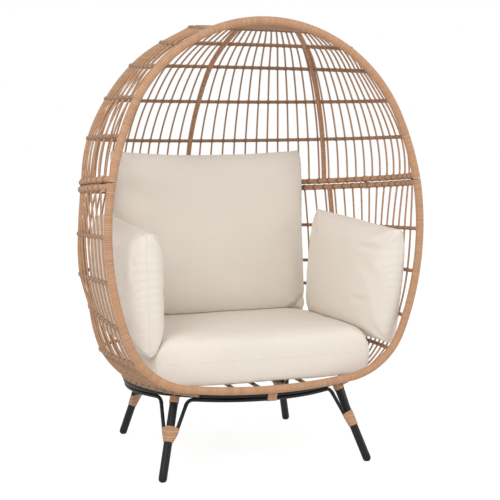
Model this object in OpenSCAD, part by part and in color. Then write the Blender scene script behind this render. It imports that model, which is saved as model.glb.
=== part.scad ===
// Standing egg chair: a wicker shell in two bolted halves on a tubular steel base, with four cushions.
// Millimetres. Origin on the ground under the middle of the whole chair, +X to the right, +Y to the back.
// Left and right are as seen from the front.

/* [Shell] */
// Widest width of the front rim, centre to centre
rim_w = 1080; // [900:10:1300]
// Height of the highest point of the rim's centreline
rim_top = 1477; // [1231:1:1773]
// Height of the lowest point of the rim's centreline
rim_low = 281; // [275:1:285]
// Height at which the rim is widest
widest_h = 800; // [720:5:860]
// Height of the joint between the two halves
seam_h = 965; // [900:5:1020]
// Gap between the halves at the joint
seam_gap = 3; // [2:0.5:5]
// Depth of the shell at the joint, from the rim's centreline to the back
shell_depth = 914; // [762:2:1097]
// Distance of the rim's plane in front of the base ring's centre
rim_front = 354; // [340:1:368]
// Angle by which the upper half of the rim leans back
rim_lean = 4; // [0:0.5:7]
// Diameter of the wrapped rim tube
rim_d = 27; // [20:1:34]
// Angle above the widest point at which the rim's side bend changes to its top bend
rim_bend_change = 23; // [15:1:40]
// Radius of the rim's two lower corners
rim_corner_r = 240; // [180:5:280]
// Radius of the rim's nearly straight bottom run
rim_bottom_r = 2000; // [1400:50:2000]

/* [Hoops] */
// Diameter of a wall hoop
hoop_d = 13; // [9:1:17]
// Diameter of the two rails at the joint
rail_d = 20; // [14:1:24]
// Diameter of the upright ribs
rib_d = 19; // [14:1:24]
// Diameter of the bottom hoop that lies on the base
bottom_hoop_d = 18; // [12:1:22]
// Angle from the widest point at which a hoop's side bend changes to its back bend
hoop_bend_change = 50; // [40:1:60]
// Places of the four upper hoops, as shares of the rise from the joint to the rim's top
upper_hoop_at = [0.28, 0.512, 0.695, 0.838]; // [0.1:0.005:0.9]
// Swell of the four upper hoops beyond the rim at their height
upper_hoop_swell = [50, 38, 30, 42]; // [10:1:60]
// Distance behind the rim at which each upper hoop is widest
upper_hoop_widest = [174, 195, 178, 82]; // [60:1:220]
// Depth of the four upper hoops as shares of the depth at the joint
upper_hoop_depth = [0.945, 0.815, 0.655, 0.47]; // [0.4:0.005:1]
// Rise of the four upper hoops towards the back, in degrees
upper_hoop_rise = [-1.3, 0.8, 3.9, 5.2]; // [-5:0.1:8]
// Places of the four lower hoops, as shares of the drop from the joint to the rim's bottom
lower_hoop_at = [0.2485, 0.4605, 0.687, 0.845]; // [0.1:0.005:0.9]
// Swell of the four lower hoops beyond the rim at their height
lower_hoop_swell = [6, 10, 22, 35]; // [4:1:60]
// Distance behind the rim at which each lower hoop is widest
lower_hoop_widest = [340, 370, 350, 384]; // [200:1:420]
// Depth of the four lower hoops as shares of the depth at the joint
lower_hoop_depth = [0.989, 0.95, 0.885, 0.82]; // [0.7:0.005:1]
// Rise of the four lower hoops towards the back, in degrees
lower_hoop_rise = [-2.7, -2.1, 4, -2.2]; // [-5:0.1:8]
// Place of the small crown hoop, as a share of the rise from the joint to the rim's top
crown_hoop_at = 0.928; // [0.9:0.001:0.95]
// Swell of the crown hoop beyond the rim at its height
crown_hoop_swell = 25; // [10:1:40]
// Distance behind the rim at which the crown hoop is widest
crown_hoop_widest = 140; // [100:1:180]
// Depth of the crown hoop as a share of the depth at the joint
crown_hoop_depth = 0.306; // [0.28:0.002:0.34]
// Rise of the crown hoop towards the back, in degrees
crown_hoop_rise = 7.2; // [4:0.1:9]
// Swell of the rails beyond the rim at the joint
rail_swell = 32; // [10:1:60]
// Distance behind the rim at which the rails are widest
rail_widest = 204; // [120:1:300]
// Fall of the joint towards the back, in degrees
seam_fall = 3.8; // [0:0.1:6]

/* [Strands] */
// Diameter of a wall strand
strand_d = 6.6; // [4:0.2:9]
// Spaces between strands along each half of a hoop
strand_spaces = 26; // [18:1:30]
// Spacing of the strands that close the crown
crown_pitch = 9; // [8:0.5:14]
// Depth to which a strand's end is bedded in its hoop
bedding = 1; // [0.5:0.1:1.5]

/* [Base] */
// Half width of the base ring's centreline
ring_half_w = 388; // [370:1:405]
// Height of the base ring's centreline
ring_h = 264; // [262:1:268]
// Diameter of the base ring's tube
ring_d = 22; // [16:1:26]
// Diameter of a leg's tube
leg_d = 28; // [22:1:34]
// Wall of a leg's tube
leg_wall = 1.5; // [1:0.1:3]
// Half the distance between the front feet
front_foot_x = 366; // [320:1:440]
// Distance of the front feet in front of the ring's centre
front_foot_y = 330; // [290:1:400]
// Half the distance between the back feet
back_foot_x = 330; // [290:1:400]
// Distance of the back feet behind the ring's centre
back_foot_y = 330; // [290:1:400]
// Half the distance between the front legs at the ring
front_leg_x = 289; // [270:1:310]
// Half the distance between the back legs at the ring
back_leg_x = 262; // [240:1:300]
// Diameter of a brace rod
brace_d = 12.5; // [8:0.5:16]
// Length of a brace rod's bend, from its corner along the run under the ring
brace_reach = 20; // [14:1:30]
// Half the length of the front brace's run, to its corners
front_brace_x = 254; // [200:1:258]
// Half the length of the back brace's run, to its corners
back_brace_x = 224; // [180:1:230]
// Distance of a side brace's front corner in front of the ring's centre
side_brace_front = 184; // [140:1:190]
// Distance of a side brace's back corner behind the ring's centre
side_brace_back = 216; // [160:1:218]
// Height at which the brace rods leave the legs
brace_foot_h = 142; // [125:1:155]
// Height of the middle of a leg's binding
binding_h = 140; // [130:1:150]
// Length of a leg's binding
binding_l = 46; // [40:1:60]
// Thickness of the wicker of a binding
binding_t = 2; // [1:0.1:3]
// Length of the collar at the top of a leg
collar_l = 22; // [14:1:34]
// Distance of the ring's binding to the right of the middle
ring_binding_x = 8; // [-20:1:20]
// Spacing of the four seat bars
seat_bar_pitch = 84; // [60:1:110]
// Diameter of a seat bar
seat_bar_d = 12; // [8:1:16]

/* [Cushions] */
// Width of the seat cushion
seat_cushion_w = 820; // [660:2:850]
// Depth of the seat cushion
seat_cushion_l = 690; // [560:2:760]
// Thickness of the seat cushion
seat_cushion_t = 164; // [110:1:170]
// Width of the back cushion
back_cushion_w = 734; // [600:2:760]
// Height of the back cushion
back_cushion_l = 606; // [480:2:620]
// Thickness of the back cushion
back_cushion_t = 184; // [120:1:200]
// Length of a side pillow
pillow_l = 530; // [440:2:532]
// Height of a side pillow
pillow_w = 384; // [320:2:388]
// Thickness of a side pillow
pillow_t = 150; // [100:1:165]

/* [Hidden] */
$fa = 2;
$fs = 1.5;

wicker = "#be8c69";
dark_wicker = "#a87755";
steel = "#1b1d20";
cloth = "#e8e2da";
zinc = "#9a9c9e";

rim_r = rim_d / 2;
hoop_r = hoop_d / 2;
rail_r = rail_d / 2;
rib_r = rib_d / 2;
strand_r = strand_d / 2;
ring_tube_r = ring_d / 2;
leg_r = leg_d / 2;
brace_r = brace_d / 2;
bottom_hoop_r = bottom_hoop_d / 2;

// Everything is drawn about the base ring's centre, and then placed so that the origin lies under the
// middle of the chair's whole depth
ring_y = (rim_front + rim_r - (shell_depth - rim_front + rail_r)) / 2;
module placed(finish) color(finish) translate([0, ring_y, 0]) children();

// Clearance between parts that touch
fit = 0.2;
// The ring nests behind and below the rim's bottom run, and the bottom hoop lies on its outer shoulder
ring_half_d = rim_front - sqrt(pow(rim_r + ring_tube_r + fit, 2) - pow(rim_low - ring_h, 2));
hoop_overhang = 8;
bottom_hoop_h = ring_h + sqrt(pow(ring_tube_r + bottom_hoop_r + fit, 2) - pow(hoop_overhang, 2));
// The seat bars are let into the top of the bottom hoop
seat_bar_bedding = 0.5;
seat_bar_h = bottom_hoop_h + bottom_hoop_r - seat_bar_bedding;

// A weld between two runs of tube is a bead that stands a little proud and bridges a small gap
weld_rise = 0.4;
brace_weld_rise = 0.8;
weld_gap = 0.2;

function unit(v) = v / norm(v);
function degrees(length, radius) = length / radius * 180 / PI;

// ---- Rim: side bend, top bend, lower corner and bottom run, as tangent arcs ----

rim_half = rim_w / 2;
// Heights on the upper half are measured along its leaning plane
top_v = seam_h + (rim_top - seam_h) / cos(rim_lean);
top_rise = top_v - widest_h;
rim_span = (top_rise - rim_half) / (cos(rim_bend_change) + sin(rim_bend_change) - 1);
side_r = rim_half + rim_span * cos(rim_bend_change);
top_r = top_rise - rim_span * sin(rim_bend_change);
side_c = [rim_half - side_r, widest_h];
top_c = [0, top_v - top_r];
bottom_c = [0, rim_low + rim_bottom_r];
corner_c = circles_meet(side_c, side_r - rim_corner_r, bottom_c, rim_bottom_r - rim_corner_r);
corner_top = direction(corner_c - side_c);
corner_end = direction(corner_c - bottom_c);

function direction(v) = atan2(v[1], v[0]);

// The meeting point, on the +X side, of two circles
function circles_meet(c1, r1, c2, r2) =
    let (
        span = norm(c2 - c1),
        along = (r1 * r1 - r2 * r2 + span * span) / (2 * span),
        across = sqrt(r1 * r1 - along * along),
        u = unit(c2 - c1)
    )
    c1 + along * u + across * [u[1], -u[0]];

// Half width of the rim's centreline at height v in its own plane
function rim_x(v) =
    v > side_c[1] + side_r * sin(rim_bend_change) ? circle_x(top_c, top_r, v)
    : v > side_c[1] + side_r * sin(corner_top) ? circle_x(side_c, side_r, v)
    : circle_x(corner_c, rim_corner_r, v);
function circle_x(c, r, v) = c[0] + sqrt(r * r - (v - c[1]) * (v - c[1]));

// A point of the rim's plane, at half width x and height v, in space
function rim_point(x, v) =
    v > seam_h
    ? [x, -rim_front + (v - seam_h) * sin(rim_lean), seam_h + (v - seam_h) * cos(rim_lean)]
    : [x, -rim_front, v];

// Tube bent to an arc about c, from angle a0 to a1. Each end stops short by half of a weld's gap
module bent(c, bend_r, a0, a1, tube_r) {
    cut = degrees(weld_gap / 2, bend_r);
    translate([c[0], c[1], 0]) rotate([0, 0, a0 + cut])
        rotate_extrude(angle = a1 - a0 - 2 * cut) translate([bend_r, 0]) circle(tube_r);
}

// Weld that joins two bends at angle a of the circle about c
module weld(c, bend_r, a, tube_r) {
    translate([c[0] + bend_r * cos(a), c[1] + bend_r * sin(a), 0]) rotate([90, 0, a]) bead(tube_r);
}

// A bead's poles lie on the tube's axis
module bead(tube_r, rise = weld_rise) sphere(tube_r + rise);

module both_sides() {
    children();
    mirror([1, 0, 0]) children();
}

module upper_rim() {
    seam_at = asin((seam_h + seam_gap / 2 - widest_h) / side_r);
    placed(wicker) translate([0, -rim_front, seam_h]) rotate([90 - rim_lean, 0, 0])
        translate([0, -seam_h, 0]) {
            bent(top_c, top_r, rim_bend_change, 180 - rim_bend_change, rim_r);
            both_sides() {
                bent(side_c, side_r, seam_at, rim_bend_change, rim_r);
                weld(top_c, top_r, rim_bend_change, rim_r);
            }
        }
}

module lower_rim() {
    seam_at = asin((seam_h - seam_gap / 2 - widest_h) / side_r);
    placed(wicker) translate([0, -rim_front, 0]) rotate([90, 0, 0]) {
        bent(bottom_c, rim_bottom_r, -180 - corner_end, corner_end, rim_r);
        both_sides() {
            bent(corner_c, rim_corner_r, corner_end, corner_top, rim_r);
            bent(side_c, side_r, corner_top, seam_at, rim_r);
            weld(corner_c, rim_corner_r, corner_end, rim_r);
            weld(corner_c, rim_corner_r, corner_top, rim_r);
        }
    }
}

// ---- Hoops: a hoop is [start on the rim, half width there, widest half width, distance back of the
// widest point, depth, rise], and lies in a plane that turns by rise about the line between its ends ----

function hoop(start, w, swell, widest, depth, rise) = [start, w, w + swell, widest, depth, rise];
function upper_level(at) = seam_h + at * (top_v - seam_h);
function lower_level(at) = seam_h - at * (seam_h - rim_low);
function wall_hoop(v, swell, widest, depth, rise) =
    hoop(rim_point(0, v), rim_x(v), swell, widest, depth * shell_depth, rise);

rail_lift = (rail_d + seam_gap) / 2;
crown = wall_hoop(upper_level(crown_hoop_at), crown_hoop_swell, crown_hoop_widest,
                  crown_hoop_depth, crown_hoop_rise);
upper_wall = [for (i = [0:3]) wall_hoop(upper_level(upper_hoop_at[i]), upper_hoop_swell[i],
                                        upper_hoop_widest[i], upper_hoop_depth[i], upper_hoop_rise[i])];
lower_wall = [for (i = [0:3]) wall_hoop(lower_level(lower_hoop_at[i]), lower_hoop_swell[i],
                                        lower_hoop_widest[i], lower_hoop_depth[i], lower_hoop_rise[i])];
upper_rail = wall_hoop(seam_h + rail_lift, rail_swell, rail_widest, 1, -seam_fall);
lower_rail = wall_hoop(seam_h - rail_lift, rail_swell, rail_widest, 1, -seam_fall);
// The bottom hoop follows the base ring from its widest point back, and its ends run to the rim, which
// they meet at this half width
bottom_half = rim_half * 0.463;
bottom = hoop([0, -rim_front, bottom_hoop_h], bottom_half, ring_half_w + hoop_overhang - bottom_half,
              rim_front, rim_front + ring_half_d + hoop_overhang, 0);
ring = hoop([0, 0, ring_h], ring_half_w, 0, 0, ring_half_d, 0);

function back_depth(h) = h[4] - h[3];
function bend_span(h) = (back_depth(h) - h[2]) / (cos(hoop_bend_change) + sin(hoop_bend_change) - 1);
function side_bend(h) = h[2] + bend_span(h) * cos(hoop_bend_change);
function back_bend(h) = back_depth(h) - bend_span(h) * sin(hoop_bend_change);
function front_bend(h) = (h[3] * h[3] + (h[2] - h[1]) * (h[2] - h[1])) / (2 * (h[2] - h[1]));
function front_turn(h) = asin(h[3] / front_bend(h));
function back_length(h) = back_bend(h) * (90 - hoop_bend_change) * PI / 180;
function side_length(h) = side_bend(h) * hoop_bend_change * PI / 180;
function half_length(h) = back_length(h) + side_length(h) + front_bend(h) * front_turn(h) * PI / 180;

// The point at a distance s along a hoop's half, from the middle of its back, in the hoop's plane
function plan_point(h, s) =
    s < back_length(h)
    ? let (a = 90 - degrees(s, back_bend(h)))
      [0, h[4] - back_bend(h)] + back_bend(h) * [cos(a), sin(a)]
    : s < back_length(h) + side_length(h)
    ? let (a = hoop_bend_change - degrees(s - back_length(h), side_bend(h)))
      [h[2] - side_bend(h), h[3]] + side_bend(h) * [cos(a), sin(a)]
    : let (a = -degrees(s - back_length(h) - side_length(h), front_bend(h)))
      [h[2] - front_bend(h), h[3]] + front_bend(h) * [cos(a), sin(a)];

// The same point in space, at a share of the half length, with the side as its sign
function hoop_point(h, share) =
    let (p = plan_point(h, abs(share) * half_length(h)))
    h[0] + [sign(share) * p[0], p[1] * cos(h[5]), p[1] * sin(h[5])];

// How far back a hoop lies at half width x, in its plane, on its back or side bend
function hoop_back_at(h, x) =
    abs(x) < back_bend(h) * cos(hoop_bend_change)
    ? h[4] - back_bend(h) + sqrt(pow(back_bend(h), 2) - x * x)
    : h[3] + sqrt(pow(side_bend(h), 2) - pow(abs(x) - h[2] + side_bend(h), 2));

module in_hoop_plane(h) {
    translate(h[0]) rotate([h[5], 0, 0]) children();
}

module hoop_tube(h, r) {
    in_hoop_plane(h) {
        bent([0, h[4] - back_bend(h)], back_bend(h), hoop_bend_change, 180 - hoop_bend_change, r);
        both_sides() {
            side_c = [h[2] - side_bend(h), h[3]];
            bent(side_c, side_bend(h), 0, hoop_bend_change, r);
            weld(side_c, side_bend(h), hoop_bend_change, r);
            weld(side_c, side_bend(h), 0, r);
            bent([h[2] - front_bend(h), h[3]], front_bend(h), -front_turn(h), 0, r);
        }
    }
}

module crown_hoop() placed(dark_wicker) hoop_tube(crown, hoop_r);
module upper_hoop(i) placed(dark_wicker) hoop_tube(upper_wall[i], hoop_r);
module lower_hoop(i) placed(dark_wicker) hoop_tube(lower_wall[i], hoop_r);
module bottom_hoop() placed(dark_wicker) hoop_tube(bottom, bottom_hoop_r);

// ---- Arcs through points: ribs and strands ----

// Puts children in a frame with its origin at o and its X and Y axes along x and y
module frame_at(o, x, y) {
    z = cross(x, y);
    multmatrix([[x[0], y[0], z[0], o[0]],
                [x[1], y[1], z[1], o[1]],
                [x[2], y[2], z[2], o[2]]])
        children();
}

// How a run of points turns at point i: a vector to the outside of the turn
function turning(points, i) = unit(points[i] - points[i - 1]) - unit(points[i + 1] - points[i]);
function turn_angle(v) = 2 * asin(norm(v) / 2);
function bay_length(points, i) = norm(points[i + 1] - points[i]);
// Share of the turn at joint j that belongs to bay i
function bay_share(points, i, j) =
    turn_angle(turning(points, j)) * 2 * bay_length(points, i)
    / (bay_length(points, j - 1) + bay_length(points, j));
function bay_joints(points, i) = [for (j = [i, i + 1]) if (j > 0 && j < len(points) - 1) j];
function add(list, n = 0) = n == len(list) - 1 ? list[n] : list[n] + add(list, n + 1);
least_turn = 0.5;

// Bay i of a run of points: a tube bent to one arc, with each end cut short by its trim
module arc_bay(points, i, r, trims) {
    joints = bay_joints(points, i);
    turn = max(least_turn, add([for (j = joints) bay_share(points, i, j)]) / len(joints));
    outward = add([for (j = joints) turning(points, j)]);
    y = unit(points[i + 1] - points[i]);
    x = unit(outward - (outward * y) * y);
    bend_r = bay_length(points, i) / 2 / sin(turn / 2);
    from = -turn / 2 + degrees(trims[0], bend_r);
    to = turn / 2 - degrees(trims[1], bend_r);
    middle = (points[i] + points[i + 1]) / 2;
    frame_at(middle - bend_r * cos(turn / 2) * x, x, y) bent([0, 0], bend_r, from, to, r);
}

upper_levels = concat([upper_rail], upper_wall, [crown]);
lower_levels = concat([lower_rail], lower_wall, [bottom]);
upper_radii = [rail_r, hoop_r, hoop_r, hoop_r, hoop_r, hoop_r];
lower_radii = [rail_r, hoop_r, hoop_r, hoop_r, hoop_r, bottom_hoop_r];
// Side ribs stand halfway between two strands
upper_rib_share = (floor(strand_spaces / 2) - 0.5) / strand_spaces;
lower_rib_share = floor(strand_spaces / 2) / strand_spaces;

module rib(levels, share) {
    points = [for (h = levels) hoop_point(h, share)];
    placed(wicker) {
        for (i = [0:len(points) - 2]) arc_bay(points, i, rib_r, [0, 0]);
        for (i = [1:len(points) - 2])
            along(points[i], points[i] + points[i + 1] - points[i - 1]) bead(rib_r);
    }
}

// Clearance between the outermost strand and the rim
rim_clearance = 1;

// Strands of one bay. A strand is left out where it would start inside a rib or the rim
module strands(levels, radii, bay, offset, rib_share) {
    shares = [for (k = [1:strand_spaces - 1]) (k - offset) / strand_spaces];
    rib_shares = [0, rib_share];
    upper_end = levels[bay + 1];
    lower_end = levels[bay];
    short_half = min(half_length(upper_end), half_length(lower_end));
    open_shares = [for (s = shares)
        if (min([for (rib = rib_shares) abs(s - rib)]) * short_half > rib_r
            && (1 - s) * short_half > rim_r + strand_r + rim_clearance) s];
    placed(dark_wicker) for (s = open_shares, side = [-1, 1]) {
        points = [for (h = levels) hoop_point(h, side * s)];
        arc_bay(points, bay, strand_r, [radii[bay] - bedding, radii[bay + 1] - bedding]);
    }
}

module upper_strands(bay) strands(upper_levels, upper_radii, bay, 0, upper_rib_share);
module lower_strands(bay) strands(lower_levels, lower_radii, bay, 0.5, lower_rib_share);

// Straight tube between two points, with each end cut short by its trim
module straight(p, q, r, trims = [0, 0]) {
    u = unit(q - p);
    start = p + trims[0] * u;
    length = norm(q - p) - trims[0] - trims[1];
    translate(start) rotate([0, acos(u[2]), atan2(u[1], u[0])]) cylinder(h = length, r = r);
}

// Close-set strands that run from the rim back to the crown hoop
module crown_strands() {
    reach = floor((crown[1] - rim_r - strand_r) / crown_pitch);
    placed(dark_wicker) for (i = [-reach:reach]) {
        x = i * crown_pitch;
        back = hoop_back_at(crown, x);
        straight(rim_point(x, top_c[1] + sqrt(top_r * top_r - x * x)),
                 crown[0] + [x, back * cos(crown[5]), back * sin(crown[5])],
                 strand_r, [rim_r - bedding, hoop_r - bedding]);
    }
}

// Distance behind the rim's centreline at which the bars are bedded in its tube
seat_bar_setback = sqrt(rim_r * rim_r - pow(seat_bar_h - rim_low, 2)) - bedding;

module seat_bars() {
    placed(dark_wicker) for (i = [-1.5:1:1.5]) {
        x = i * seat_bar_pitch;
        straight([x, -rim_front + seat_bar_setback, seat_bar_h],
                 [x, hoop_back_at(bottom, x) - rim_front, seat_bar_h], seat_bar_d / 2);
    }
}

// ---- Joint between the halves ----

bolt_d = 6;
bolt_head_d = 12;
bolt_head_t = 3.5;
bolt_shares = [0.02, 0.34, 0.66, 0.95];
bolt_length = 2 * rail_d + seam_gap + 2 * bolt_head_t;
bolt_hole_d = bolt_d + 0.4;

module at_bolts() {
    for (share = bolt_shares, side = [-1, 1]) {
        low = hoop_point(lower_rail, side * share);
        high = hoop_point(upper_rail, side * share);
        translate((low + high) / 2) rotate([-seam_fall, 0, 0]) children();
    }
}

module seam_rail(h) {
    placed(wicker) difference() {
        hoop_tube(h, rail_r);
        at_bolts() cylinder(h = bolt_length, d = bolt_hole_d, center = true);
    }
}

module seam_bolts() {
    placed(zinc) at_bolts() {
        cylinder(h = bolt_length - 2 * bolt_head_t, d = bolt_d, center = true);
        for (side = [0, 1]) mirror([0, 0, side])
            translate([0, 0, bolt_length / 2 - bolt_head_t]) cylinder(h = bolt_head_t, d = bolt_head_d);
    }
}

module seam_washers() {
    placed(steel) at_bolts() difference() {
        cylinder(h = seam_gap, d = bolt_head_d, center = true);
        cylinder(h = seam_gap + 1, d = bolt_hole_d, center = true);
    }
}

// ---- Base ----

function mirror_x(p, side) = [side * p[0], p[1], p[2]];
front_foot = [front_foot_x, -front_foot_y, 0];
back_foot = [back_foot_x, back_foot_y, 0];
front_top = [front_leg_x, -hoop_back_at(ring, front_leg_x), ring_h];
back_top = [back_leg_x, hoop_back_at(ring, back_leg_x), ring_h];
cap_l = 24;
cap_flat = 3;
spigot_l = 20;
ring_binding_l = 33;

// The point of a leg's axis at height z
function on_leg(foot, top, z) = foot + (top - foot) * z / top[2];

module along(p, q) {
    u = unit(q - p);
    translate(p) rotate([0, acos(u[2]), atan2(u[1], u[0])]) children();
}

// The ring is two bent halves whose ends meet at its sides
module base_ring() {
    placed(steel) in_hoop_plane(ring) for (way = [0, 180]) rotate([0, 0, way]) {
        bent(cross_c, cross_r, hoop_bend_change, 180 - hoop_bend_change, ring_tube_r);
        both_sides() {
            weld(cross_c, cross_r, hoop_bend_change, ring_tube_r);
            bent(side_run_c, side_run_r, 0, hoop_bend_change, ring_tube_r);
        }
    }
}

// A leg stops against the underside of the ring
module leg(foot, top) {
    start = on_leg(foot, top, cap_l);
    length = norm(top - start) - ring_tube_r - fit;
    placed(steel) along(start, top) difference() {
        cylinder(h = length, r = leg_r);
        translate([0, 0, -1]) cylinder(h = spigot_l + 2, r = leg_r - leg_wall);
    }
}

// Rounded cap with a flat sole and a spigot that plugs the leg's tube
module foot_cap(foot, top) {
    low = on_leg(foot, top, leg_r - cap_flat);
    high = on_leg(foot, top, cap_l);
    placed(steel) difference() {
        along(low, high) {
            sphere(leg_r);
            cylinder(h = norm(high - low), r = leg_r);
            cylinder(h = norm(high - low) + spigot_l, r = leg_r - leg_wall - fit);
        }
        translate([low[0] - leg_d, low[1] - leg_d, -leg_d]) cube([2 * leg_d, 2 * leg_d, leg_d]);
    }
}

// The brace rods run close under the ring, on the same bends, and turn down to the legs at their ends
brace_h = ring_h - ring_tube_r - brace_r - fit;
brace_side = leg_r + brace_r + fit;
cross_c = [0, ring_half_d - back_bend(ring)];
cross_r = back_bend(ring);
side_run_c = [ring_half_w - side_bend(ring), 0];
side_run_r = side_bend(ring);
function flip_y(p) = [p[0], -p[1], p[2]];
function cross_turn(x) = acos(x / cross_r) + degrees(brace_reach, cross_r);
function side_turn(y) = asin(y / side_run_r) - degrees(brace_reach, side_run_r);

// End of a run at angle a about c, and its corner, which lies on along the tangent
function run_end(c, run_r, a) = [c[0] + run_r * cos(a), c[1] + run_r * sin(a), brace_h];
function run_corner(c, run_r, a, way) = run_end(c, run_r, a) + way * brace_reach * [-sin(a), cos(a), 0];
function cross_corner(x) = run_corner(cross_c, cross_r, cross_turn(x), -1);
function side_corner(y) = run_corner(side_run_c, side_run_r, side_turn(y), 1);

// The foot of a brace lies against the leg, on the side towards target, at height z
function beside_leg(foot, top, z, target) =
    let (
        u = unit(top - foot),
        p = on_leg(foot, top, z),
        off = target - p,
        across = unit(off - (off * u) * u)
    )
    p + brace_side * across;

// The bend at one end of a run, and the rod from there down to the leg
module brace_end(end, corner, foot, top) {
    start = beside_leg(foot, top, brace_foot_h, corner);
    a = unit(end - corner);
    b = unit(start - corner);
    half = acos(a * b) / 2;
    inward = unit(a + b);
    straight(start, corner + brace_reach * b, brace_r, [0, weld_gap / 2]);
    for (way = [a, b]) along(corner + brace_reach * way, corner) bead(brace_r, brace_weld_rise);
    frame_at(corner + brace_reach / cos(half) * inward, -inward, unit(b - a))
        bent([0, 0], brace_reach * tan(half), half - 90, 90 - half, brace_r);
}

// Brace between the two back legs, or between the front ones when it is mirrored
module cross_brace(foot, top, x) {
    turn = cross_turn(x);
    translate([0, 0, brace_h]) bent(cross_c, cross_r, turn, 180 - turn, brace_r);
    both_sides() brace_end(run_end(cross_c, cross_r, turn), cross_corner(x), foot, top);
}

module front_brace() {
    placed(steel) mirror([0, 1, 0]) cross_brace(flip_y(front_foot), flip_y(front_top), front_brace_x);
}

module back_brace() placed(steel) cross_brace(back_foot, back_top, back_brace_x);

module side_brace(side) {
    front = side_turn(side_brace_front);
    back = side_turn(side_brace_back);
    placed(steel) mirror([1 - side, 0, 0]) {
        translate([0, 0, brace_h]) bent(side_run_c, side_run_r, -front, back, brace_r);
        brace_end(flip_y(run_end(side_run_c, side_run_r, front)), flip_y(side_corner(side_brace_front)),
                  front_foot, front_top);
        brace_end(run_end(side_run_c, side_run_r, back), side_corner(side_brace_back), back_foot, back_top);
    }
}

// Wicker binding round a leg and the feet of its two brace rods
module binding(foot, top, corners) {
    low = on_leg(foot, top, binding_h - binding_l / 2);
    high = on_leg(foot, top, binding_h + binding_l / 2);
    difference() {
        hull() {
            along(low, high) cylinder(h = norm(high - low), r = leg_r + binding_t, $fn = 32);
            for (corner = corners) {
                p = beside_leg(foot, top, brace_foot_h, corner);
                along(p, corner) cylinder(h = binding_h + binding_l / 2 - brace_foot_h,
                                          r = brace_r + binding_t / 2, $fn = 32);
            }
        }
        along(foot, top) cylinder(h = norm(top), r = leg_r + fit);
    }
}

module leg_bindings() {
    placed(wicker) both_sides() {
        binding(front_foot, front_top, [flip_y(cross_corner(front_brace_x)),
                                        flip_y(side_corner(side_brace_front))]);
        binding(back_foot, back_top, [cross_corner(back_brace_x), side_corner(side_brace_back)]);
    }
}

// Wicker collar at the top of each leg
module collar(foot, top) {
    high = top - (ring_tube_r + fit) * unit(top - foot);
    low = high - collar_l * unit(top - foot);
    along(low, high) difference() {
        cylinder(h = collar_l, r = leg_r + binding_t);
        translate([0, 0, -1]) cylinder(h = collar_l + 2, r = leg_r + fit);
    }
}

module leg_collars() {
    placed(wicker) both_sides() {
        collar(front_foot, front_top);
        collar(back_foot, back_top);
    }
}

// Clearance of a binding round the brace and the ring
binding_clearance = 0.6;

// Binding that ties the front brace to the ring, open where the rim touches the ring
module ring_binding() {
    ring_p = [-ring_half_d, ring_h];
    brace_p = [-ring_half_d, brace_h];
    placed(wicker) translate([ring_binding_x, 0, 0]) rotate([90, 0, 90])
        linear_extrude(ring_binding_l, center = true) difference() {
            union() {
                translate(ring_p) circle(ring_tube_r + binding_t);
                translate(brace_p) circle(brace_r + binding_t);
                translate([ring_p[0] - brace_r - binding_t, brace_h])
                    square([2 * (brace_r + binding_t), ring_h - brace_h]);
            }
            translate(ring_p) circle(ring_tube_r + binding_clearance);
            translate(brace_p) circle(brace_r + binding_clearance);
            translate([-rim_front, rim_low]) circle(rim_r + fit);
        }
}

// ---- Cushions: a plan with rounded corners and drawn-in sides, and a crown that falls to its edge ----

cushion_steps = 22;

// Even steps that close up towards the edge
function edge_step(i) = sin(90 * (2 * i / cushion_steps - 1));

// Plan point of a cushion: half sizes a and b, corner rounding for its -Y and +Y ends, drawn-in
// sides and ends
function cushion_plan(u, v, a, b, round_front, round_back, draw) =
    let (c = v < 0 ? round_front : round_back)
    [a * u * sqrt(1 - c * v * v / 2) * (1 - draw[0] * (1 - v * v)),
     b * v * sqrt(1 - c * u * u / 2) * (1 - draw[1] * (1 - u * u))];

function cushion_crown(u, v, flatness, edge) =
    pow((1 - pow(abs(u), flatness)) * (1 - pow(abs(v), flatness)), 1 / edge);

// Closed cushion. under is how much fuller than its crown the lower side is, before it lies flat
module cushion(size, round_front, round_back, draw, flatness, edge, under = 1) {
    n = cushion_steps;
    steps = [for (i = [0:n]) edge_step(i)];
    function at(i, j, z) =
        let (p = cushion_plan(steps[i], steps[j], size[0] / 2, size[1] / 2, round_front, round_back, draw))
        [p[0], p[1], z];
    function lift(i, j) = size[2] / 2 * cushion_crown(steps[i], steps[j], flatness, edge);
    upper = [for (i = [0:n], j = [0:n]) at(i, j, lift(i, j))];
    lower = [for (i = [1:n - 1], j = [1:n - 1]) at(i, j, -min(size[2] / 2, under * lift(i, j)))];
    function on_edge(i, j) = i == 0 || j == 0 || i == n || j == n;
    function up(i, j) = i * (n + 1) + j;
    function down(i, j) = on_edge(i, j) ? up(i, j) : len(upper) + (i - 1) * (n - 1) + j - 1;
    // Each quad is split on the diagonal that points to its quarter's corner, so no corner closes flat
    function split(a, b, c, d, turned) = turned ? [[b, c, d], [b, d, a]] : [[a, b, c], [a, c, d]];
    faces = [for (i = [n - 1:-1:0], j = [n - 1:-1:0])
        let (turned = (i < n / 2) != (j < n / 2))
        each concat(split(up(i, j), up(i, j + 1), up(i + 1, j + 1), up(i + 1, j), turned),
                    split(down(i, j), down(i + 1, j), down(i + 1, j + 1), down(i, j + 1), turned))];
    polyhedron(concat(upper, lower), faces);
}

soft_gap = 0.3;
seat_cushion_c = [0, 7, seat_bar_h + (seat_bar_d + seat_cushion_t) / 2 + soft_gap];
back_cushion_lean = 5;
// The back cushion's drawn-in lower side, and its lean, let it down onto the seat cushion by this much
back_cushion_drop = 15.9;
back_cushion_c = [0, 280, seat_cushion_c[2] + (seat_cushion_t + back_cushion_l) / 2 - back_cushion_drop];

module seat_cushion() {
    placed(cloth) translate(seat_cushion_c)
        cushion([seat_cushion_w, seat_cushion_l, seat_cushion_t], 0.35, 0.9, [0.01, 0.01], 10, 3, 1.15);
}

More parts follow.
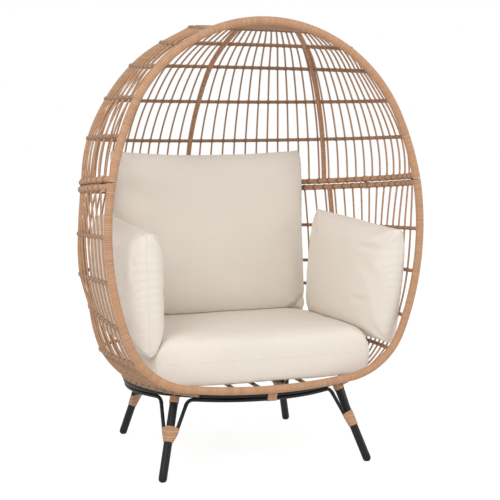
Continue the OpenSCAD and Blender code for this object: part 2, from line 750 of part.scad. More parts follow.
module back_cushion() {
    placed(cloth) translate(back_cushion_c) rotate([90 - back_cushion_lean, 0, 0])
        cushion([back_cushion_w, back_cushion_l, back_cushion_t], 0.03, 0.03, [0.015, 0.055], 5, 2.6);
}

// Pillow in a pose of centre, lean, drop and turn: lean tips its top outwards, drop lowers its front and
// turn swings its front outwards
module pillow(pose) {
    translate(pose[0]) rotate([90, 0, 90])
        rotate([0, pose[3], 0]) rotate([0, 0, pose[2]]) rotate([pose[1], 0, 0])
        cushion([pillow_l, pillow_w, pillow_t], 0.1, 0.1, [0.03, 0.03], 2.6, 1.8);
}

// Centre, lean, drop and turn of each pillow. The left one's are mirrored
right_pillow_pose = [[413, -58, 618.6], 2, 6, 11];
left_pillow_pose = [[421, -68, 613.4], 2.5, 3.7, -2.5];
module right_pillow() placed(cloth) pillow(right_pillow_pose);
module left_pillow() placed(cloth) mirror([1, 0, 0]) pillow(left_pillow_pose);

upper_rim();
lower_rim();
seam_rail(upper_rail);  // upper_seam_rail
seam_rail(lower_rail);  // lower_seam_rail
crown_hoop();
upper_hoop(0);  // upper_hoop_1
upper_hoop(1);  // upper_hoop_2
upper_hoop(2);  // upper_hoop_3
upper_hoop(3);  // upper_hoop_4
lower_hoop(0);  // lower_hoop_1
lower_hoop(1);  // lower_hoop_2
lower_hoop(2);  // lower_hoop_3
lower_hoop(3);  // lower_hoop_4
bottom_hoop();
rib(upper_levels, 0);  // upper_back_rib
rib(upper_levels, -upper_rib_share);  // upper_left_rib
rib(upper_levels, upper_rib_share);  // upper_right_rib
rib(lower_levels, 0);  // lower_back_rib
rib(lower_levels, -lower_rib_share);  // lower_left_rib
rib(lower_levels, lower_rib_share);  // lower_right_rib
upper_strands(0);  // upper_strands_1
upper_strands(1);  // upper_strands_2
upper_strands(2);  // upper_strands_3
upper_strands(3);  // upper_strands_4
upper_strands(4);  // upper_strands_5
crown_strands();
lower_strands(0);  // lower_strands_1
lower_strands(1);  // lower_strands_2
lower_strands(2);  // lower_strands_3
lower_strands(3);  // lower_strands_4
lower_strands(4);  // lower_strands_5
seat_bars();
seam_bolts();
seam_washers();
base_ring();
leg(mirror_x(front_foot, -1), mirror_x(front_top, -1));  // front_left_leg
leg(front_foot, front_top);  // front_right_leg
leg(mirror_x(back_foot, -1), mirror_x(back_top, -1));  // back_left_leg
leg(back_foot, back_top);  // back_right_leg
foot_cap(mirror_x(front_foot, -1), mirror_x(front_top, -1));  // front_left_foot
foot_cap(front_foot, front_top);  // front_right_foot
foot_cap(mirror_x(back_foot, -1), mirror_x(back_top, -1));  // back_left_foot
foot_cap(back_foot, back_top);  // back_right_foot
front_brace();
side_brace(0);  // left_brace
side_brace(1);  // right_brace
back_brace();
leg_bindings();
leg_collars();
ring_binding();
seat_cushion();
back_cushion();
left_pillow();
right_pillow();
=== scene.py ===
"""Looks of a standing egg chair: wound wicker shell, knotted strands, coated steel base and soft cushions.

Metres, apart from the sizes of paths and cushions. Those are in millimetres, and the paths' repeat those
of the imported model, so that every wound tube lies on its own node.
"""

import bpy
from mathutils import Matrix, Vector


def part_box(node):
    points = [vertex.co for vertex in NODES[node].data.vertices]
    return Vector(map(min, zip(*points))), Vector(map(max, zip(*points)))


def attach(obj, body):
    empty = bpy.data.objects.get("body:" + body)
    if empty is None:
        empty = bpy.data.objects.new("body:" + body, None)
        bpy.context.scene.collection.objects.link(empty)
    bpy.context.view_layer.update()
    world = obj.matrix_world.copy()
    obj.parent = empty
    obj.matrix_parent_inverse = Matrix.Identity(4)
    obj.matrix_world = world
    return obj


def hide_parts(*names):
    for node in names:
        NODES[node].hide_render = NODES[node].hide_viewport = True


bl_info = {
    "name": "Standing egg chair",
    "version": (1, 0, 0),
    "blender": (4, 5, 0),
    "location": "3D View > Sidebar > Egg chair",
    "description": "Wound wicker shell, coated steel base and four cushions of a standing egg chair",
    "category": "Object",
}

import math

import bmesh
import bpy
import numpy as np
from bpy.props import FloatProperty, FloatVectorProperty, PointerProperty
from mathutils import Matrix, Vector, noise
from mathutils.bvhtree import BVHTree

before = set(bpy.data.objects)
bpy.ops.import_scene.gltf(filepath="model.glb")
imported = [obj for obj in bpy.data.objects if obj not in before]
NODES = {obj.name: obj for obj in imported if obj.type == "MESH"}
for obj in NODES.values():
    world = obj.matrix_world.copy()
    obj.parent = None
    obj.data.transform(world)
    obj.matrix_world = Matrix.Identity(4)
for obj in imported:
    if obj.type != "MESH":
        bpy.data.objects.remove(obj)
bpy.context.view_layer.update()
MM = 0.001

# ---- Paths of the shell's tubes, in millimetres about the base ring's centre ----

SHELL_Y = -101.25
RIM_HALF, RIM_TOP, RIM_LOW = 540, 1477, 281
WIDEST_H, SEAM_H, SEAM_GAP = 800, 965, 3
RIM_FRONT, RIM_LEAN = 354, math.radians(4)
RIM_CORNER_R, RIM_BOTTOM_R = 240, 2000
RIM_TURN, HOOP_TURN = math.radians(23), math.radians(50)
SHELL_DEPTH, RAIL_D, RING_H, RING_TUBE_R, RING_HALF_W = 914, 20, 264, 11, 388
RIM_R, HOOP_R, RAIL_R, RIB_R, BOTTOM_HOOP_R, STRAND_R = 13.5, 6.5, 10, 9.5, 9, 3.3
BOTTOM_HOOP_SHARE, HOOP_OVERHANG = 0.463, 8
STRAND_SPACES, CROWN_PITCH = 26, 9
# Room between a rim and its nearest strand, and between two tubes that rest on each other
STRAND_ROOM, FIT = 1, 0.2
# Longest stretch between two points of a path
STEP = 4
LEAST_TURN = math.radians(0.5)

top_v = SEAM_H + (RIM_TOP - SEAM_H) / math.cos(RIM_LEAN)
rim_rise = top_v - WIDEST_H
rim_span = (rim_rise - RIM_HALF) / (math.cos(RIM_TURN) + math.sin(RIM_TURN) - 1)
side_r = RIM_HALF + rim_span * math.cos(RIM_TURN)
top_r = rim_rise - rim_span * math.sin(RIM_TURN)
side_c = Vector((RIM_HALF - side_r, WIDEST_H))
top_c = Vector((0, top_v - top_r))
bottom_c = Vector((0, RIM_LOW + RIM_BOTTOM_R))


def circles_meet(c1, r1, c2, r2):
    """Meeting point, on the +X side, of two circles."""
    span = (c2 - c1).length
    along = (r1 * r1 - r2 * r2 + span * span) / (2 * span)
    across = math.sqrt(r1 * r1 - along * along)
    u = (c2 - c1) / span
    return c1 + along * u + across * Vector((u.y, -u.x))


corner_c = circles_meet(side_c, side_r - RIM_CORNER_R, bottom_c, RIM_BOTTOM_R - RIM_CORNER_R)
corner_top = math.atan2(*reversed(corner_c - side_c))
corner_end = math.atan2(*reversed(corner_c - bottom_c))


def arc(centre, radius, start, end):
    """Points of an arc in a plane, a few millimetres apart."""
    count = max(2, math.ceil(abs(end - start) * radius / STEP))
    turns = [start + (end - start) * k / count for k in range(count + 1)]
    return [centre + radius * Vector((math.cos(a), math.sin(a))) for a in turns]


def joined(*runs):
    """One run of points from several that meet end to end."""
    points = list(runs[0])
    for run in runs[1:]:
        points += run[1:]
    return points


def both_halves(half):
    """A whole path from its half on the +X side, which ends in the middle."""
    return half + [Vector((-p.x, p.y)) for p in reversed(half[:-1])]


def placed(p):
    """A point about the base ring's centre, in millimetres, as a point of the model, in metres."""
    return Vector((p[0], p[1] + SHELL_Y, p[2])) * MM


def rim_x(v):
    """Half width of the rim's centreline at height v in its own plane."""
    if v > side_c.y + side_r * math.sin(RIM_TURN):
        centre, radius = top_c, top_r
    elif v > side_c.y + side_r * math.sin(corner_top):
        centre, radius = side_c, side_r
    else:
        centre, radius = corner_c, RIM_CORNER_R
    return centre.x + math.sqrt(radius**2 - (v - centre.y) ** 2)


def rim_point(x, v):
    """A point of the rim's plane, which leans back above the joint, in space."""
    up = v - SEAM_H
    if up <= 0:
        return Vector((x, -RIM_FRONT, v))
    return Vector((x, -RIM_FRONT + up * math.sin(RIM_LEAN), SEAM_H + up * math.cos(RIM_LEAN)))


def upper_rim_path():
    seam = math.asin((SEAM_H + SEAM_GAP / 2 - WIDEST_H) / side_r)
    half = joined(arc(side_c, side_r, seam, RIM_TURN), arc(top_c, top_r, RIM_TURN, math.pi / 2))
    return [placed(rim_point(p.x, p.y)) for p in both_halves(half)]


def lower_rim_path():
    seam = math.asin((SEAM_H - SEAM_GAP / 2 - WIDEST_H) / side_r)
    half = joined(
        arc(side_c, side_r, seam, corner_top),
        arc(corner_c, RIM_CORNER_R, corner_top, corner_end),
        arc(bottom_c, RIM_BOTTOM_R, corner_end, -math.pi / 2),
    )
    return [placed(rim_point(p.x, p.y)) for p in both_halves(half)]


class Hoop:
    """A hoop of three bends a side, in a plane that turns about the line between its ends."""

    def __init__(self, start, w, swell, widest, depth, rise, radius):
        self.start, self.w, self.widest = Vector(start), w, widest
        self.rise, self.radius = math.radians(rise), radius
        wide, back = w + swell, depth - widest
        span = (back - wide) / (math.cos(HOOP_TURN) + math.sin(HOOP_TURN) - 1)
        back_r = back - span * math.sin(HOOP_TURN)
        side_r = wide + span * math.cos(HOOP_TURN)
        front_r = (widest**2 + swell**2) / (2 * swell)
        front_turn = math.asin(widest / front_r)
        # Each bend's centre and radius, and the angles at its ends, from the back to the front
        self.bends = (
            (Vector((0, depth - back_r)), back_r, math.pi / 2, HOOP_TURN),
            (Vector((wide - side_r, widest)), side_r, HOOP_TURN, 0),
            (Vector((wide - front_r, widest)), front_r, 0, -front_turn),
        )
        self.half_length = sum(r * (a - b) for _, r, a, b in self.bends)

    def space(self, p):
        """A point of the hoop's plane in space."""
        turned = Vector((p.x, p.y * math.cos(self.rise), p.y * math.sin(self.rise)))
        return self.start + turned

    def path(self):
        half = joined(*[arc(centre, r, b, a) for centre, r, a, b in reversed(self.bends)])
        return [placed(self.space(p)) for p in both_halves(half)]

    def point(self, share):
        """The point at a share of the half length from the middle of the back, the side as its sign."""
        left = abs(share) * self.half_length
        for centre, r, a, b in self.bends:
            turn = a - left / r
            if turn > b:
                break
            left -= r * (a - b)
        p = centre + r * Vector((math.cos(turn), math.sin(turn)))
        return self.space(Vector((math.copysign(p.x, share) if share else p.x, p.y)))

    def back_at(self, x):
        """The point at half width x on the hoop's back or side bend."""
        centre, r, _, b = self.bends[0]
        if abs(x) >= r * math.cos(b):
            centre, r, _, _ = self.bends[1]
        return self.space(Vector((x, centre.y + math.sqrt(r**2 - (abs(x) - centre.x) ** 2))))


def wall_hoop(v, swell, widest, depth, rise, radius=HOOP_R):
    """A hoop that ends in the rim at height v. Its depth is a share of the shell's."""
    return Hoop(rim_point(0, v), rim_x(v), swell, widest, depth * SHELL_DEPTH, rise, radius)


def seam_rail(side):
    v = SEAM_H + side * (RAIL_D + SEAM_GAP) / 2
    return wall_hoop(v, 32, 204, 1, -3.8, RAIL_R)


def upper_hoop(at, *bends):
    return wall_hoop(SEAM_H + at * (top_v - SEAM_H), *bends)


def lower_hoop(at, *bends):
    return wall_hoop(SEAM_H - at * (SEAM_H - RIM_LOW), *bends)


def bottom_hoop():
    """The hoop that rests on the base ring and hangs over it at the sides and the back."""
    ring_half_d = RIM_FRONT - math.sqrt((RIM_R + RING_TUBE_R + FIT) ** 2 - (RIM_LOW - RING_H) ** 2)
    height = RING_H + math.sqrt((RING_TUBE_R + BOTTOM_HOOP_R + FIT) ** 2 - HOOP_OVERHANG**2)
    half = RIM_HALF * BOTTOM_HOOP_SHARE
    swell = RING_HALF_W + HOOP_OVERHANG - half
    depth = RIM_FRONT + ring_half_d + HOOP_OVERHANG
    return Hoop((0, -RIM_FRONT, height), half, swell, RIM_FRONT, depth, 0, BOTTOM_HOOP_R)


# A hoop's share of the way from the joint to the rim's end, then its swell, widest, depth and rise
HOOPS = {
    "upper_seam_rail": seam_rail(1),
    "upper_hoop_1": upper_hoop(0.28, 50, 174, 0.945, -1.3),
    "upper_hoop_2": upper_hoop(0.512, 38, 195, 0.815, 0.8),
    "upper_hoop_3": upper_hoop(0.695, 30, 178, 0.655, 3.9),
    "upper_hoop_4": upper_hoop(0.838, 42, 82, 0.47, 5.2),
    "crown_hoop": upper_hoop(0.928, 25, 140, 0.306, 7.2),
    "lower_seam_rail": seam_rail(-1),
    "lower_hoop_1": lower_hoop(0.2485, 6, 340, 0.989, -2.7),
    "lower_hoop_2": lower_hoop(0.4605, 10, 370, 0.95, -2.1),
    "lower_hoop_3": lower_hoop(0.687, 22, 350, 0.885, 4),
    "lower_hoop_4": lower_hoop(0.845, 35, 384, 0.82, -2.2),
    "bottom_hoop": bottom_hoop(),
}
UPPER, LOWER = list(HOOPS.values())[:6], list(HOOPS.values())[6:]
UPPER_RIB = (STRAND_SPACES // 2 - 0.5) / STRAND_SPACES
LOWER_RIB = (STRAND_SPACES // 2) / STRAND_SPACES
RIBS = {
    f"{half}_{place}_rib": (levels, share)
    for half, levels, reach in (("upper", UPPER, UPPER_RIB), ("lower", LOWER, LOWER_RIB))
    for place, share in (("back", 0), ("left", -reach), ("right", reach))
}
# Each node of wall strands, with the two levels that its strands run between
STRAND_BAYS = {
    f"{half}_strands_{k + 1}": levels[k : k + 2]
    for half, levels in (("upper", UPPER), ("lower", LOWER))
    for k in range(5)
}


def turning(points, i):
    return (points[i] - points[i - 1]).normalized() - (points[i + 1] - points[i]).normalized()


def bay_arc(points, i):
    """Bay i of a run of points, bent to one arc that shares out the turns at its two ends."""
    last = len(points) - 1
    joints = [j for j in (i, i + 1) if 0 < j < last]
    bay = (points[i + 1] - points[i]).length
    shares = []
    for j in joints:
        around = (points[j] - points[j - 1]).length + (points[j + 1] - points[j]).length
        shares.append(2 * math.asin(turning(points, j).length / 2) * 2 * bay / around)
    turn = max(LEAST_TURN, sum(shares) / len(joints))
    outward = sum((turning(points, j) for j in joints), Vector((0, 0, 0)))
    y = (points[i + 1] - points[i]).normalized()
    x = (outward - outward.dot(y) * y).normalized()
    bend = bay / 2 / math.sin(turn / 2)
    centre = (points[i] + points[i + 1]) / 2 - bend * math.cos(turn / 2) * x
    count = max(3, math.ceil(bay / STEP))
    turns = [-turn / 2 + turn * k / count for k in range(count + 1)]
    return [centre + bend * (math.cos(a) * x + math.sin(a) * y) for a in turns]


def rib_path(levels, share):
    points = [h.point(share) for h in levels]
    return [placed(p) for p in joined(*[bay_arc(points, i) for i in range(len(points) - 1)])]


def strand_shares(offset, rib_share, short_half):
    """Where the strands of a half cross a hoop. A strand that would start in a rib or the rim is left out."""
    shares = [(k - offset) / STRAND_SPACES for k in range(1, STRAND_SPACES)]
    return [
        s
        for s in shares
        if min(abs(s), abs(s - rib_share)) * short_half > RIB_R
        and (1 - s) * short_half > RIM_R + STRAND_R + STRAND_ROOM
    ]


# ---- Node trees and materials ----


class Nodes:
    """Adds nodes to a tree and joins them. An input is a value, or the output to join it to."""

    def __init__(self, tree):
        self.tree = tree

    def feed(self, socket, value):
        if isinstance(value, bpy.types.NodeSocket):
            self.tree.links.new(value, socket)
        elif value is not None:
            socket.default_value = value

    def add(self, kind, inputs=None, **settings):
        made = self.tree.nodes.new(kind)
        for key, value in settings.items():
            setattr(made, key, value)
        for key, value in (inputs or {}).items():
            self.feed(made.inputs[key], value)
        return made

    def out(self, kind, inputs=None, **settings):
        """The first output of a new node."""
        return self.add(kind, inputs, **settings).outputs[0]

    def maths(self, operation, a, b=None):
        return self.out("ShaderNodeMath", {0: a, 1: b}, operation=operation)

    def plus(self, a, b):
        return self.maths("ADD", a, b)

    def minus(self, a, b):
        return self.maths("SUBTRACT", a, b)

    def times(self, a, b):
        return self.maths("MULTIPLY", a, b)

    def split(self, vector):
        return self.add("ShaderNodeSeparateXYZ", {0: vector}).outputs

    def ranged(self, value, low, high, to_low, to_high, how="LINEAR"):
        """A value brought from one range to another, and held within it."""
        inputs = {0: value, 1: low, 2: high, 3: to_low, 4: to_high}
        return self.out("ShaderNodeMapRange", inputs, interpolation_type=how)

    def mixed(self, factor, a, b):
        """Two colours mixed by a factor."""
        return self.add("ShaderNodeMix", {0: factor, 6: a, 7: b}, data_type="RGBA").outputs[2]


class Finish(Nodes):
    """A new material, whose looks are worked out from a point of the object."""

    def __init__(self, name):
        self.material = bpy.data.materials.new(name)
        self.material.use_nodes = True
        super().__init__(self.material.node_tree)
        self.point = self.add("ShaderNodeTexCoord").outputs["Object"]

    def fade(self, point, scale, detail=2):
        """A soft noise, from 0 to 1."""
        return self.out("ShaderNodeTexNoise", {"Vector": point, "Scale": scale, "Detail": detail})

    def surfaced(self, inputs, height=None, strength=1.0, distance=0.0):
        """Feeds the surface shader, with bumps where a height is given, and gives the material."""
        if height is not None:
            bumps = {"Height": height, "Strength": strength, "Distance": distance}
            inputs["Normal"] = self.out("ShaderNodeBump", bumps)
        for key, value in inputs.items():
            self.feed(self.tree.nodes["Principled BSDF"].inputs[key], value)
        return self.material


def tinted(colour, factor):
    return (*(part * factor for part in colour), 1)


def wicker_finish(name, colour, along, pitch, groove=0.62):
    """Flat synthetic strand wound side by side. along gives the distance along the tube, in metres.

    Each turn has its own random tone, its edges carry painted shade where it meets the next turn, in the
    groove, and fine ribs run round the tube with it. groove is how far from a turn's middle that painted
    shade starts.
    """
    made = Finish(name)
    turns = made.maths("DIVIDE", along(made), pitch)
    turn = made.maths("FLOOR", turns)
    inside = made.minus(turns, turn)
    edge = made.times(made.maths("ABSOLUTE", made.minus(inside, 0.5)), 2)

    shade = made.out("ShaderNodeTexWhiteNoise", {"W": turn}, noise_dimensions="1D")
    lit = made.mixed(shade, tinted(colour, 0.86), tinted(colour, 1.12))
    sunned = (colour[0] * 1.12, colour[1] * 1.08, colour[2] * 1.02, 1)
    worn = made.mixed(made.ranged(made.fade(made.point, 7), 0.35, 0.7, 0, 0.55), lit, sunned)
    grain = made.fade(made.point, 420, 3)
    streaked = made.mixed(made.ranged(grain, 0.3, 0.75, 0.28, 0), worn, tinted(colour, 0.62))
    # Painted shade: each turn darkens toward its edges, in the groove where it meets the next turn
    dark = made.ranged(edge, groove, 1, 0, 0.62, "SMOOTHSTEP")

    ribs = made.maths("SINE", made.times(inside, 6 * math.pi))
    crest = made.ranged(edge, 0.45, 1, 1, 0, "SMOOTHSTEP")
    height = made.plus(crest, made.plus(made.times(ribs, 0.06), made.times(grain, 0.2)))
    looks = {
        "Base Color": made.mixed(dark, streaked, tinted(colour, 0.42)),
        "Roughness": made.ranged(grain, 0.3, 0.7, 0.4, 0.58),
        "Specular IOR Level": 0.42,
    }
    return made.surfaced(looks, height, 0.55, 0.0009)


def along_winding(made):
    """Distance along a wound tube, from its own map."""
    return made.split(made.out("ShaderNodeUVMap", uv_map="winding"))[0]


def along_run(outward, upward, centre):
    """Distance along strands that run outward from an upright axis at centre, and upward."""

    def distance(made):
        x, y, z = made.split(made.point)
        x, y = made.minus(x, centre[0]), made.minus(y, centre[1])
        reach = made.maths("SQRT", made.plus(made.times(x, x), made.times(y, y)))
        return made.plus(made.times(reach, outward), made.times(z, upward))

    return distance


def along_axis(axis):
    """Distance along one of the object's own axes."""
    return lambda made: made.split(made.point)[axis]


def coat_finish(name, colour, roughness, grain):
    """Powder coat: a fine orange peel, with a shade and a gloss that vary softly."""
    made = Finish(name)
    broad = made.fade(made.point, 9)
    shade = made.ranged(broad, 0.35, 0.7, 0, 1)
    looks = {
        "Base Color": made.mixed(shade, tinted(colour, 0.85), tinted(colour, 1.35)),
        "Roughness": made.ranged(broad, 0.3, 0.7, roughness - 0.06, roughness + 0.08),
        "Specular IOR Level": 0.3,
    }
    return made.surfaced(looks, made.fade(made.point, grain, 4), 0.25, 0.0004)


def zinc_finish():
    """Zinc plate with fine pale and dark spots."""
    made = Finish("zinc plate")
    spots = made.fade(made.point, 160, 3)
    shade = made.ranged(spots, 0.35, 0.65, 0, 1)
    looks = {
        "Base Color": made.mixed(shade, (0.45, 0.46, 0.47, 1), (0.62, 0.63, 0.64, 1)),
        "Roughness": made.ranged(spots, 0.3, 0.7, 0.28, 0.45),
        "Metallic": 1,
    }
    return made.surfaced(looks)


def cloth_finish(name, colour, turn, thread, shade=1.0):
    """Plain-woven polyester in a cushion's own plane, which turn sets. Slubs and a soft fade vary it."""
    made = Finish(name)
    point = made.out("ShaderNodeMapping", {"Vector": made.point, "Rotation": turn})
    warp, weft, depth = (
        made.maths("SINE", made.times(part, 2 * math.pi / thread)) for part in made.split(point)
    )
    weave = made.plus(made.times(warp, weft), made.times(depth, 0.4))
    drawn_out = made.out("ShaderNodeMapping", {"Vector": point, "Scale": (1, 14, 14)})
    slubs = made.fade(drawn_out, 26, 3)

    broad = made.ranged(made.fade(point, 5, 3), 0.35, 0.68, 0, 1)
    base = made.mixed(broad, tinted(colour, 0.965 * shade), tinted(colour, shade))
    threads = made.mixed(made.ranged(weave, -1, 1, 0.1, 0), base, tinted(colour, 0.8 * shade))
    thick = made.ranged(slubs, 0.55, 0.75, 0, 0.12)
    looks = {
        "Base Color": made.mixed(thick, threads, tinted(colour, 0.88 * shade)),
        "Roughness": made.ranged(slubs, 0.3, 0.7, 0.82, 0.94),
        "Sheen Weight": 0.12,
        "Sheen Roughness": 0.6,
        "Specular IOR Level": 0.25,
    }
    height = made.plus(made.times(weave, 0.25), made.times(slubs, 0.7))
    return made.surfaced(looks, height, 0.35, 0.0006)


def refinish(obj, material):
    """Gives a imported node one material."""
    if not obj.data.materials:
        obj.data.materials.append(material)
    for slot in obj.material_slots:
        slot.material = material


# ---- Pieces from trees and paths ----

# Points of a wound tube's path to one turn of its strand. The first of them lies in the groove.
POINTS_A_TURN = 3
KNOT_SWELL, KNOT_TILT, KNOT_SEED = 0.12, 0.12, 7


def new_object(name, data):
    obj = bpy.data.objects.new(name, data)
    bpy.context.scene.collection.objects.link(obj)
    return obj


def evaluated_mesh(obj):
    """An object's mesh as its modifiers leave it."""
    bpy.context.view_layer.update()
    return bpy.data.meshes.new_from_object(obj.evaluated_get(bpy.context.evaluated_depsgraph_get()))


def new_tree(name, inputs):
    """A geometry node tree's nodes, and the outputs that give its named inputs."""
    tree = bpy.data.node_groups.new(name, "GeometryNodeTree")
    for label, kind in {"Geometry": "Geometry", **inputs}.items():
        tree.interface.new_socket(label, in_out="INPUT", socket_type="NodeSocket" + kind)
    tree.interface.new_socket("Geometry", in_out="OUTPUT", socket_type="NodeSocketGeometry")
    nodes = Nodes(tree)
    return nodes, nodes.add("NodeGroupInput").outputs


def stored(nodes, geometry, name, value):
    inputs = {"Geometry": geometry, "Name": name, "Value": value}
    return nodes.out("GeometryNodeStoreNamedAttribute", inputs, data_type="FLOAT", domain="POINT")


def recalled(nodes, name, kind="FLOAT"):
    return nodes.out("GeometryNodeInputNamedAttribute", {"Name": name}, data_type=kind)


def ended(nodes, geometry, material):
    """Ends a tree in smooth, real geometry with its material."""
    for kind in ("GeometryNodeSetShadeSmooth", "GeometryNodeRealizeInstances"):
        geometry = nodes.out(kind, {"Geometry": geometry})
    geometry = nodes.out("GeometryNodeSetMaterial", {"Geometry": geometry, "Material": material})
    nodes.add("NodeGroupOutput", {0: geometry})
    return nodes.tree


def wound_tube_tree():
    """Tube along a path, wound with flat strand: each turn is a low crest between two grooves."""
    sizes = {"Radius": "Float", "Strand width": "Float", "Groove depth": "Float", "Sides": "Int"}
    nodes, given = new_tree("Wound tube", {**sizes, "Finish": "Material"})
    step = nodes.maths("DIVIDE", given["Strand width"], POINTS_A_TURN)
    stretches = {"Curve": given["Geometry"], "Length": step}
    path = nodes.out("GeometryNodeResampleCurve", stretches, mode="LENGTH")
    index = nodes.out("GeometryNodeInputIndex")
    in_groove = nodes.maths("LESS_THAN", nodes.maths("MODULO", index, POINTS_A_TURN), 0.5)
    radius = nodes.minus(given["Radius"], nodes.times(given["Groove depth"], in_groove))
    along = nodes.maths("DIVIDE", nodes.times(index, given["Strand width"]), POINTS_A_TURN)
    path = stored(nodes, stored(nodes, path, "along", along), "tube_radius", radius)
    ring = nodes.out("GeometryNodeCurvePrimitiveCircle", {"Resolution": given["Sides"], "Radius": 1.0})
    around = nodes.add("GeometryNodeSplineParameter").outputs["Factor"]
    swept = {
        "Curve": path,
        "Profile Curve": stored(nodes, ring, "around", around),
        "Scale": recalled(nodes, "tube_radius"),
        "Fill Caps": True,
    }
    return ended(nodes, nodes.out("GeometryNodeCurveToMesh", swept), given["Finish"])


def knot_tree():
    """One strand wound round a tube where another crosses it: a short barrel on each point."""
    nodes, given = new_tree("Strand knots", {"Width": "Float", "Finish": "Material"})
    drum = {"Vertices": 10, "Side Segments": 4, "Radius": 1.0, "Depth": 1.0}
    barrel = nodes.out("GeometryNodeMeshCylinder", drum, fill_type="NGON")
    x, y, z = nodes.split(nodes.out("GeometryNodeInputPosition"))
    crown = nodes.minus(1, nodes.times(nodes.times(z, z), 4))
    grow = nodes.plus(1, nodes.times(crown, KNOT_SWELL))
    rounded = nodes.out("ShaderNodeCombineXYZ", {0: nodes.times(x, grow), 1: nodes.times(y, grow), 2: z})
    barrel = nodes.out("GeometryNodeSetPosition", {"Geometry": barrel, "Position": rounded})

    tilts = {0: (-KNOT_TILT,) * 3, 1: (KNOT_TILT,) * 3, "Seed": KNOT_SEED}
    chance = nodes.out("FunctionNodeRandomValue", tilts, data_type="FLOAT_VECTOR")
    lay = recalled(nodes, "lay", "FLOAT_VECTOR")
    wandering = nodes.out("ShaderNodeVectorMath", {0: lay, 1: chance}, operation="ADD")
    size = recalled(nodes, "size")
    knots = {
        "Points": given["Geometry"],
        "Instance": barrel,
        "Rotation": nodes.out("FunctionNodeAlignRotationToVector", {"Vector": wandering}, axis="Z"),
        "Scale": nodes.out("ShaderNodeCombineXYZ", {0: size, 1: size, 2: given["Width"]}),
    }
    return ended(nodes, nodes.out("GeometryNodeInstanceOnPoints", knots), given["Finish"])


def grown(source, tree, values, name):
    """Runs a tree on an object and keeps the result as a plain mesh piece."""
    modifier = source.modifiers.new(tree.name, "NODES")
    modifier.node_group = tree
    for item in tree.interface.items_tree:
        if item.in_out == "INPUT" and item.name in values:
            modifier[item.identifier] = values[item.name]
    mesh = evaluated_mesh(source)
    bpy.data.objects.remove(source)
    if not mesh.polygons:
        raise RuntimeError(f"{name} came out empty")
    return whole_piece(mesh, name)


def whole_piece(mesh, name):
    """A mesh as a piece that rides on the root body."""
    mesh.name = name
    piece = new_object(name, mesh)
    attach(piece, "root")
    return piece


def wind_uv(mesh):
    """Turns the stored distances along and around a tube into its UV map."""
    along = [v.value for v in mesh.attributes["along"].data]
    around = [v.value for v in mesh.attributes["around"].data]
    layer = mesh.uv_layers.new(name="winding")
    for face in mesh.polygons:
        turns = [around[mesh.loops[i].vertex_index] for i in face.loop_indices]
        wraps = max(turns) - min(turns) > 0.5 and len(turns) == 4
        for i, turn in zip(face.loop_indices, turns):
            past = 1 if wraps and turn < 0.5 else 0
            layer.data[i].uv = (along[mesh.loops[i].vertex_index], turn + past)
    for name in ("along", "around", "tube_radius"):
        if name in mesh.attributes:
            mesh.attributes.remove(mesh.attributes[name])


def path_curve(points, name):
    curve = bpy.data.curves.new(name, "CURVE")
    curve.dimensions = "3D"
    spline = curve.splines.new("POLY")
    spline.points.add(len(points) - 1)
    for target, p in zip(spline.points, points):
        target.co = (*p, 1)
    return new_object(name, curve)


def wound(cad_node, points, radius, width, groove, sides, finish):
    """Winds strand on one tube of the shell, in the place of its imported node. The radius is in mm."""
    source = path_curve(points, cad_node + "_path")
    tree = bpy.data.node_groups.get("Wound tube") or wound_tube_tree()
    sizes = {"Radius": radius * MM, "Strand width": width, "Groove depth": groove, "Sides": sides}
    piece = grown(source, tree, {**sizes, "Finish": finish}, cad_node + "_winding")
    wind_uv(piece.data)
    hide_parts(cad_node)
    return piece


# ---- Settings ----


def a_number(name, description, default, low, high, **kind):
    return FloatProperty(name=name, description=description, default=default, min=low, max=high, **kind)


def a_length(name, description, default, low, high):
    return a_number(name, description, default, low, high, unit="LENGTH")


def a_colour(name, description, default):
    return FloatVectorProperty(
        name=name, description=description, default=default, size=3, min=0, max=1, subtype="COLOR"
    )


class EGG_PG_shell(bpy.types.PropertyGroup):
    """Sizes and colours of the wicker shell."""

    rim_strand: a_length("Rim strand width", "Strand on the rim, rails and ribs", 0.0075, 0.004, 0.012)
    hoop_strand: a_length("Hoop strand width", "Strand on the hoops", 0.006, 0.003, 0.01)
    groove: a_length("Groove depth", "Depth between two turns of strand", 0.0008, 0.0002, 0.002)
    knot_width: a_length("Knot width", "Turns that tie a strand to a hoop", 0.0105, 0.006, 0.02)
    wicker: a_colour("Wicker", "Strand on the rim, ribs and bindings", (0.53, 0.295, 0.165))
    wall_wicker: a_colour("Wall wicker", "Strand on the hoops and walls", (0.5, 0.29, 0.17))


class EGG_PG_base(bpy.types.PropertyGroup):
    """Finish of the steel base."""

    coat: a_colour("Coat", "Colour of the powder coat", (0.004, 0.0042, 0.0047))
    roughness: a_number("Coat roughness", "Its mean roughness", 0.46, 0.1, 0.9, subtype="FACTOR")


class EGG_PG_cushions(bpy.types.PropertyGroup):
    """Cloth and filling of the four cushions."""

    cloth: a_colour("Cloth", "Colour of the cushions' cloth", (0.79, 0.73, 0.655))
    thread: a_length("Thread pitch", "Distance between two threads", 0.0016, 0.0006, 0.004)
    inset: a_length("Inset", "How far inside its form a cushion starts to fill", 0.005, 0.002, 0.02)
    swell: a_length("Swell", "Farthest that the cloth moves while it fills", 0.012, 0.004, 0.03)
    pressure: a_number("Pressure", "Pressure inside the cloth while it fills", 4, 1, 12)
    seam: a_length("Seam", "Radius of the seam that closes a cushion", 0.0014, 0.0008, 0.005)


class EGG_PG_stage(bpy.types.PropertyGroup):
    """Camera, floor and lights."""

    lens: a_number("Lens", "Focal length on a 36 mm sensor", 85.2, 20, 200)
    key: a_number("Key light", "Power of the large light on the left, in watts", 85, 0, 400)
    fill: a_number("Fill light", "Power of the light on the right, in watts", 30, 0, 400)
    ambient: a_number("Ambient", "Strength of the even light from all round", 0.8, 0, 2)


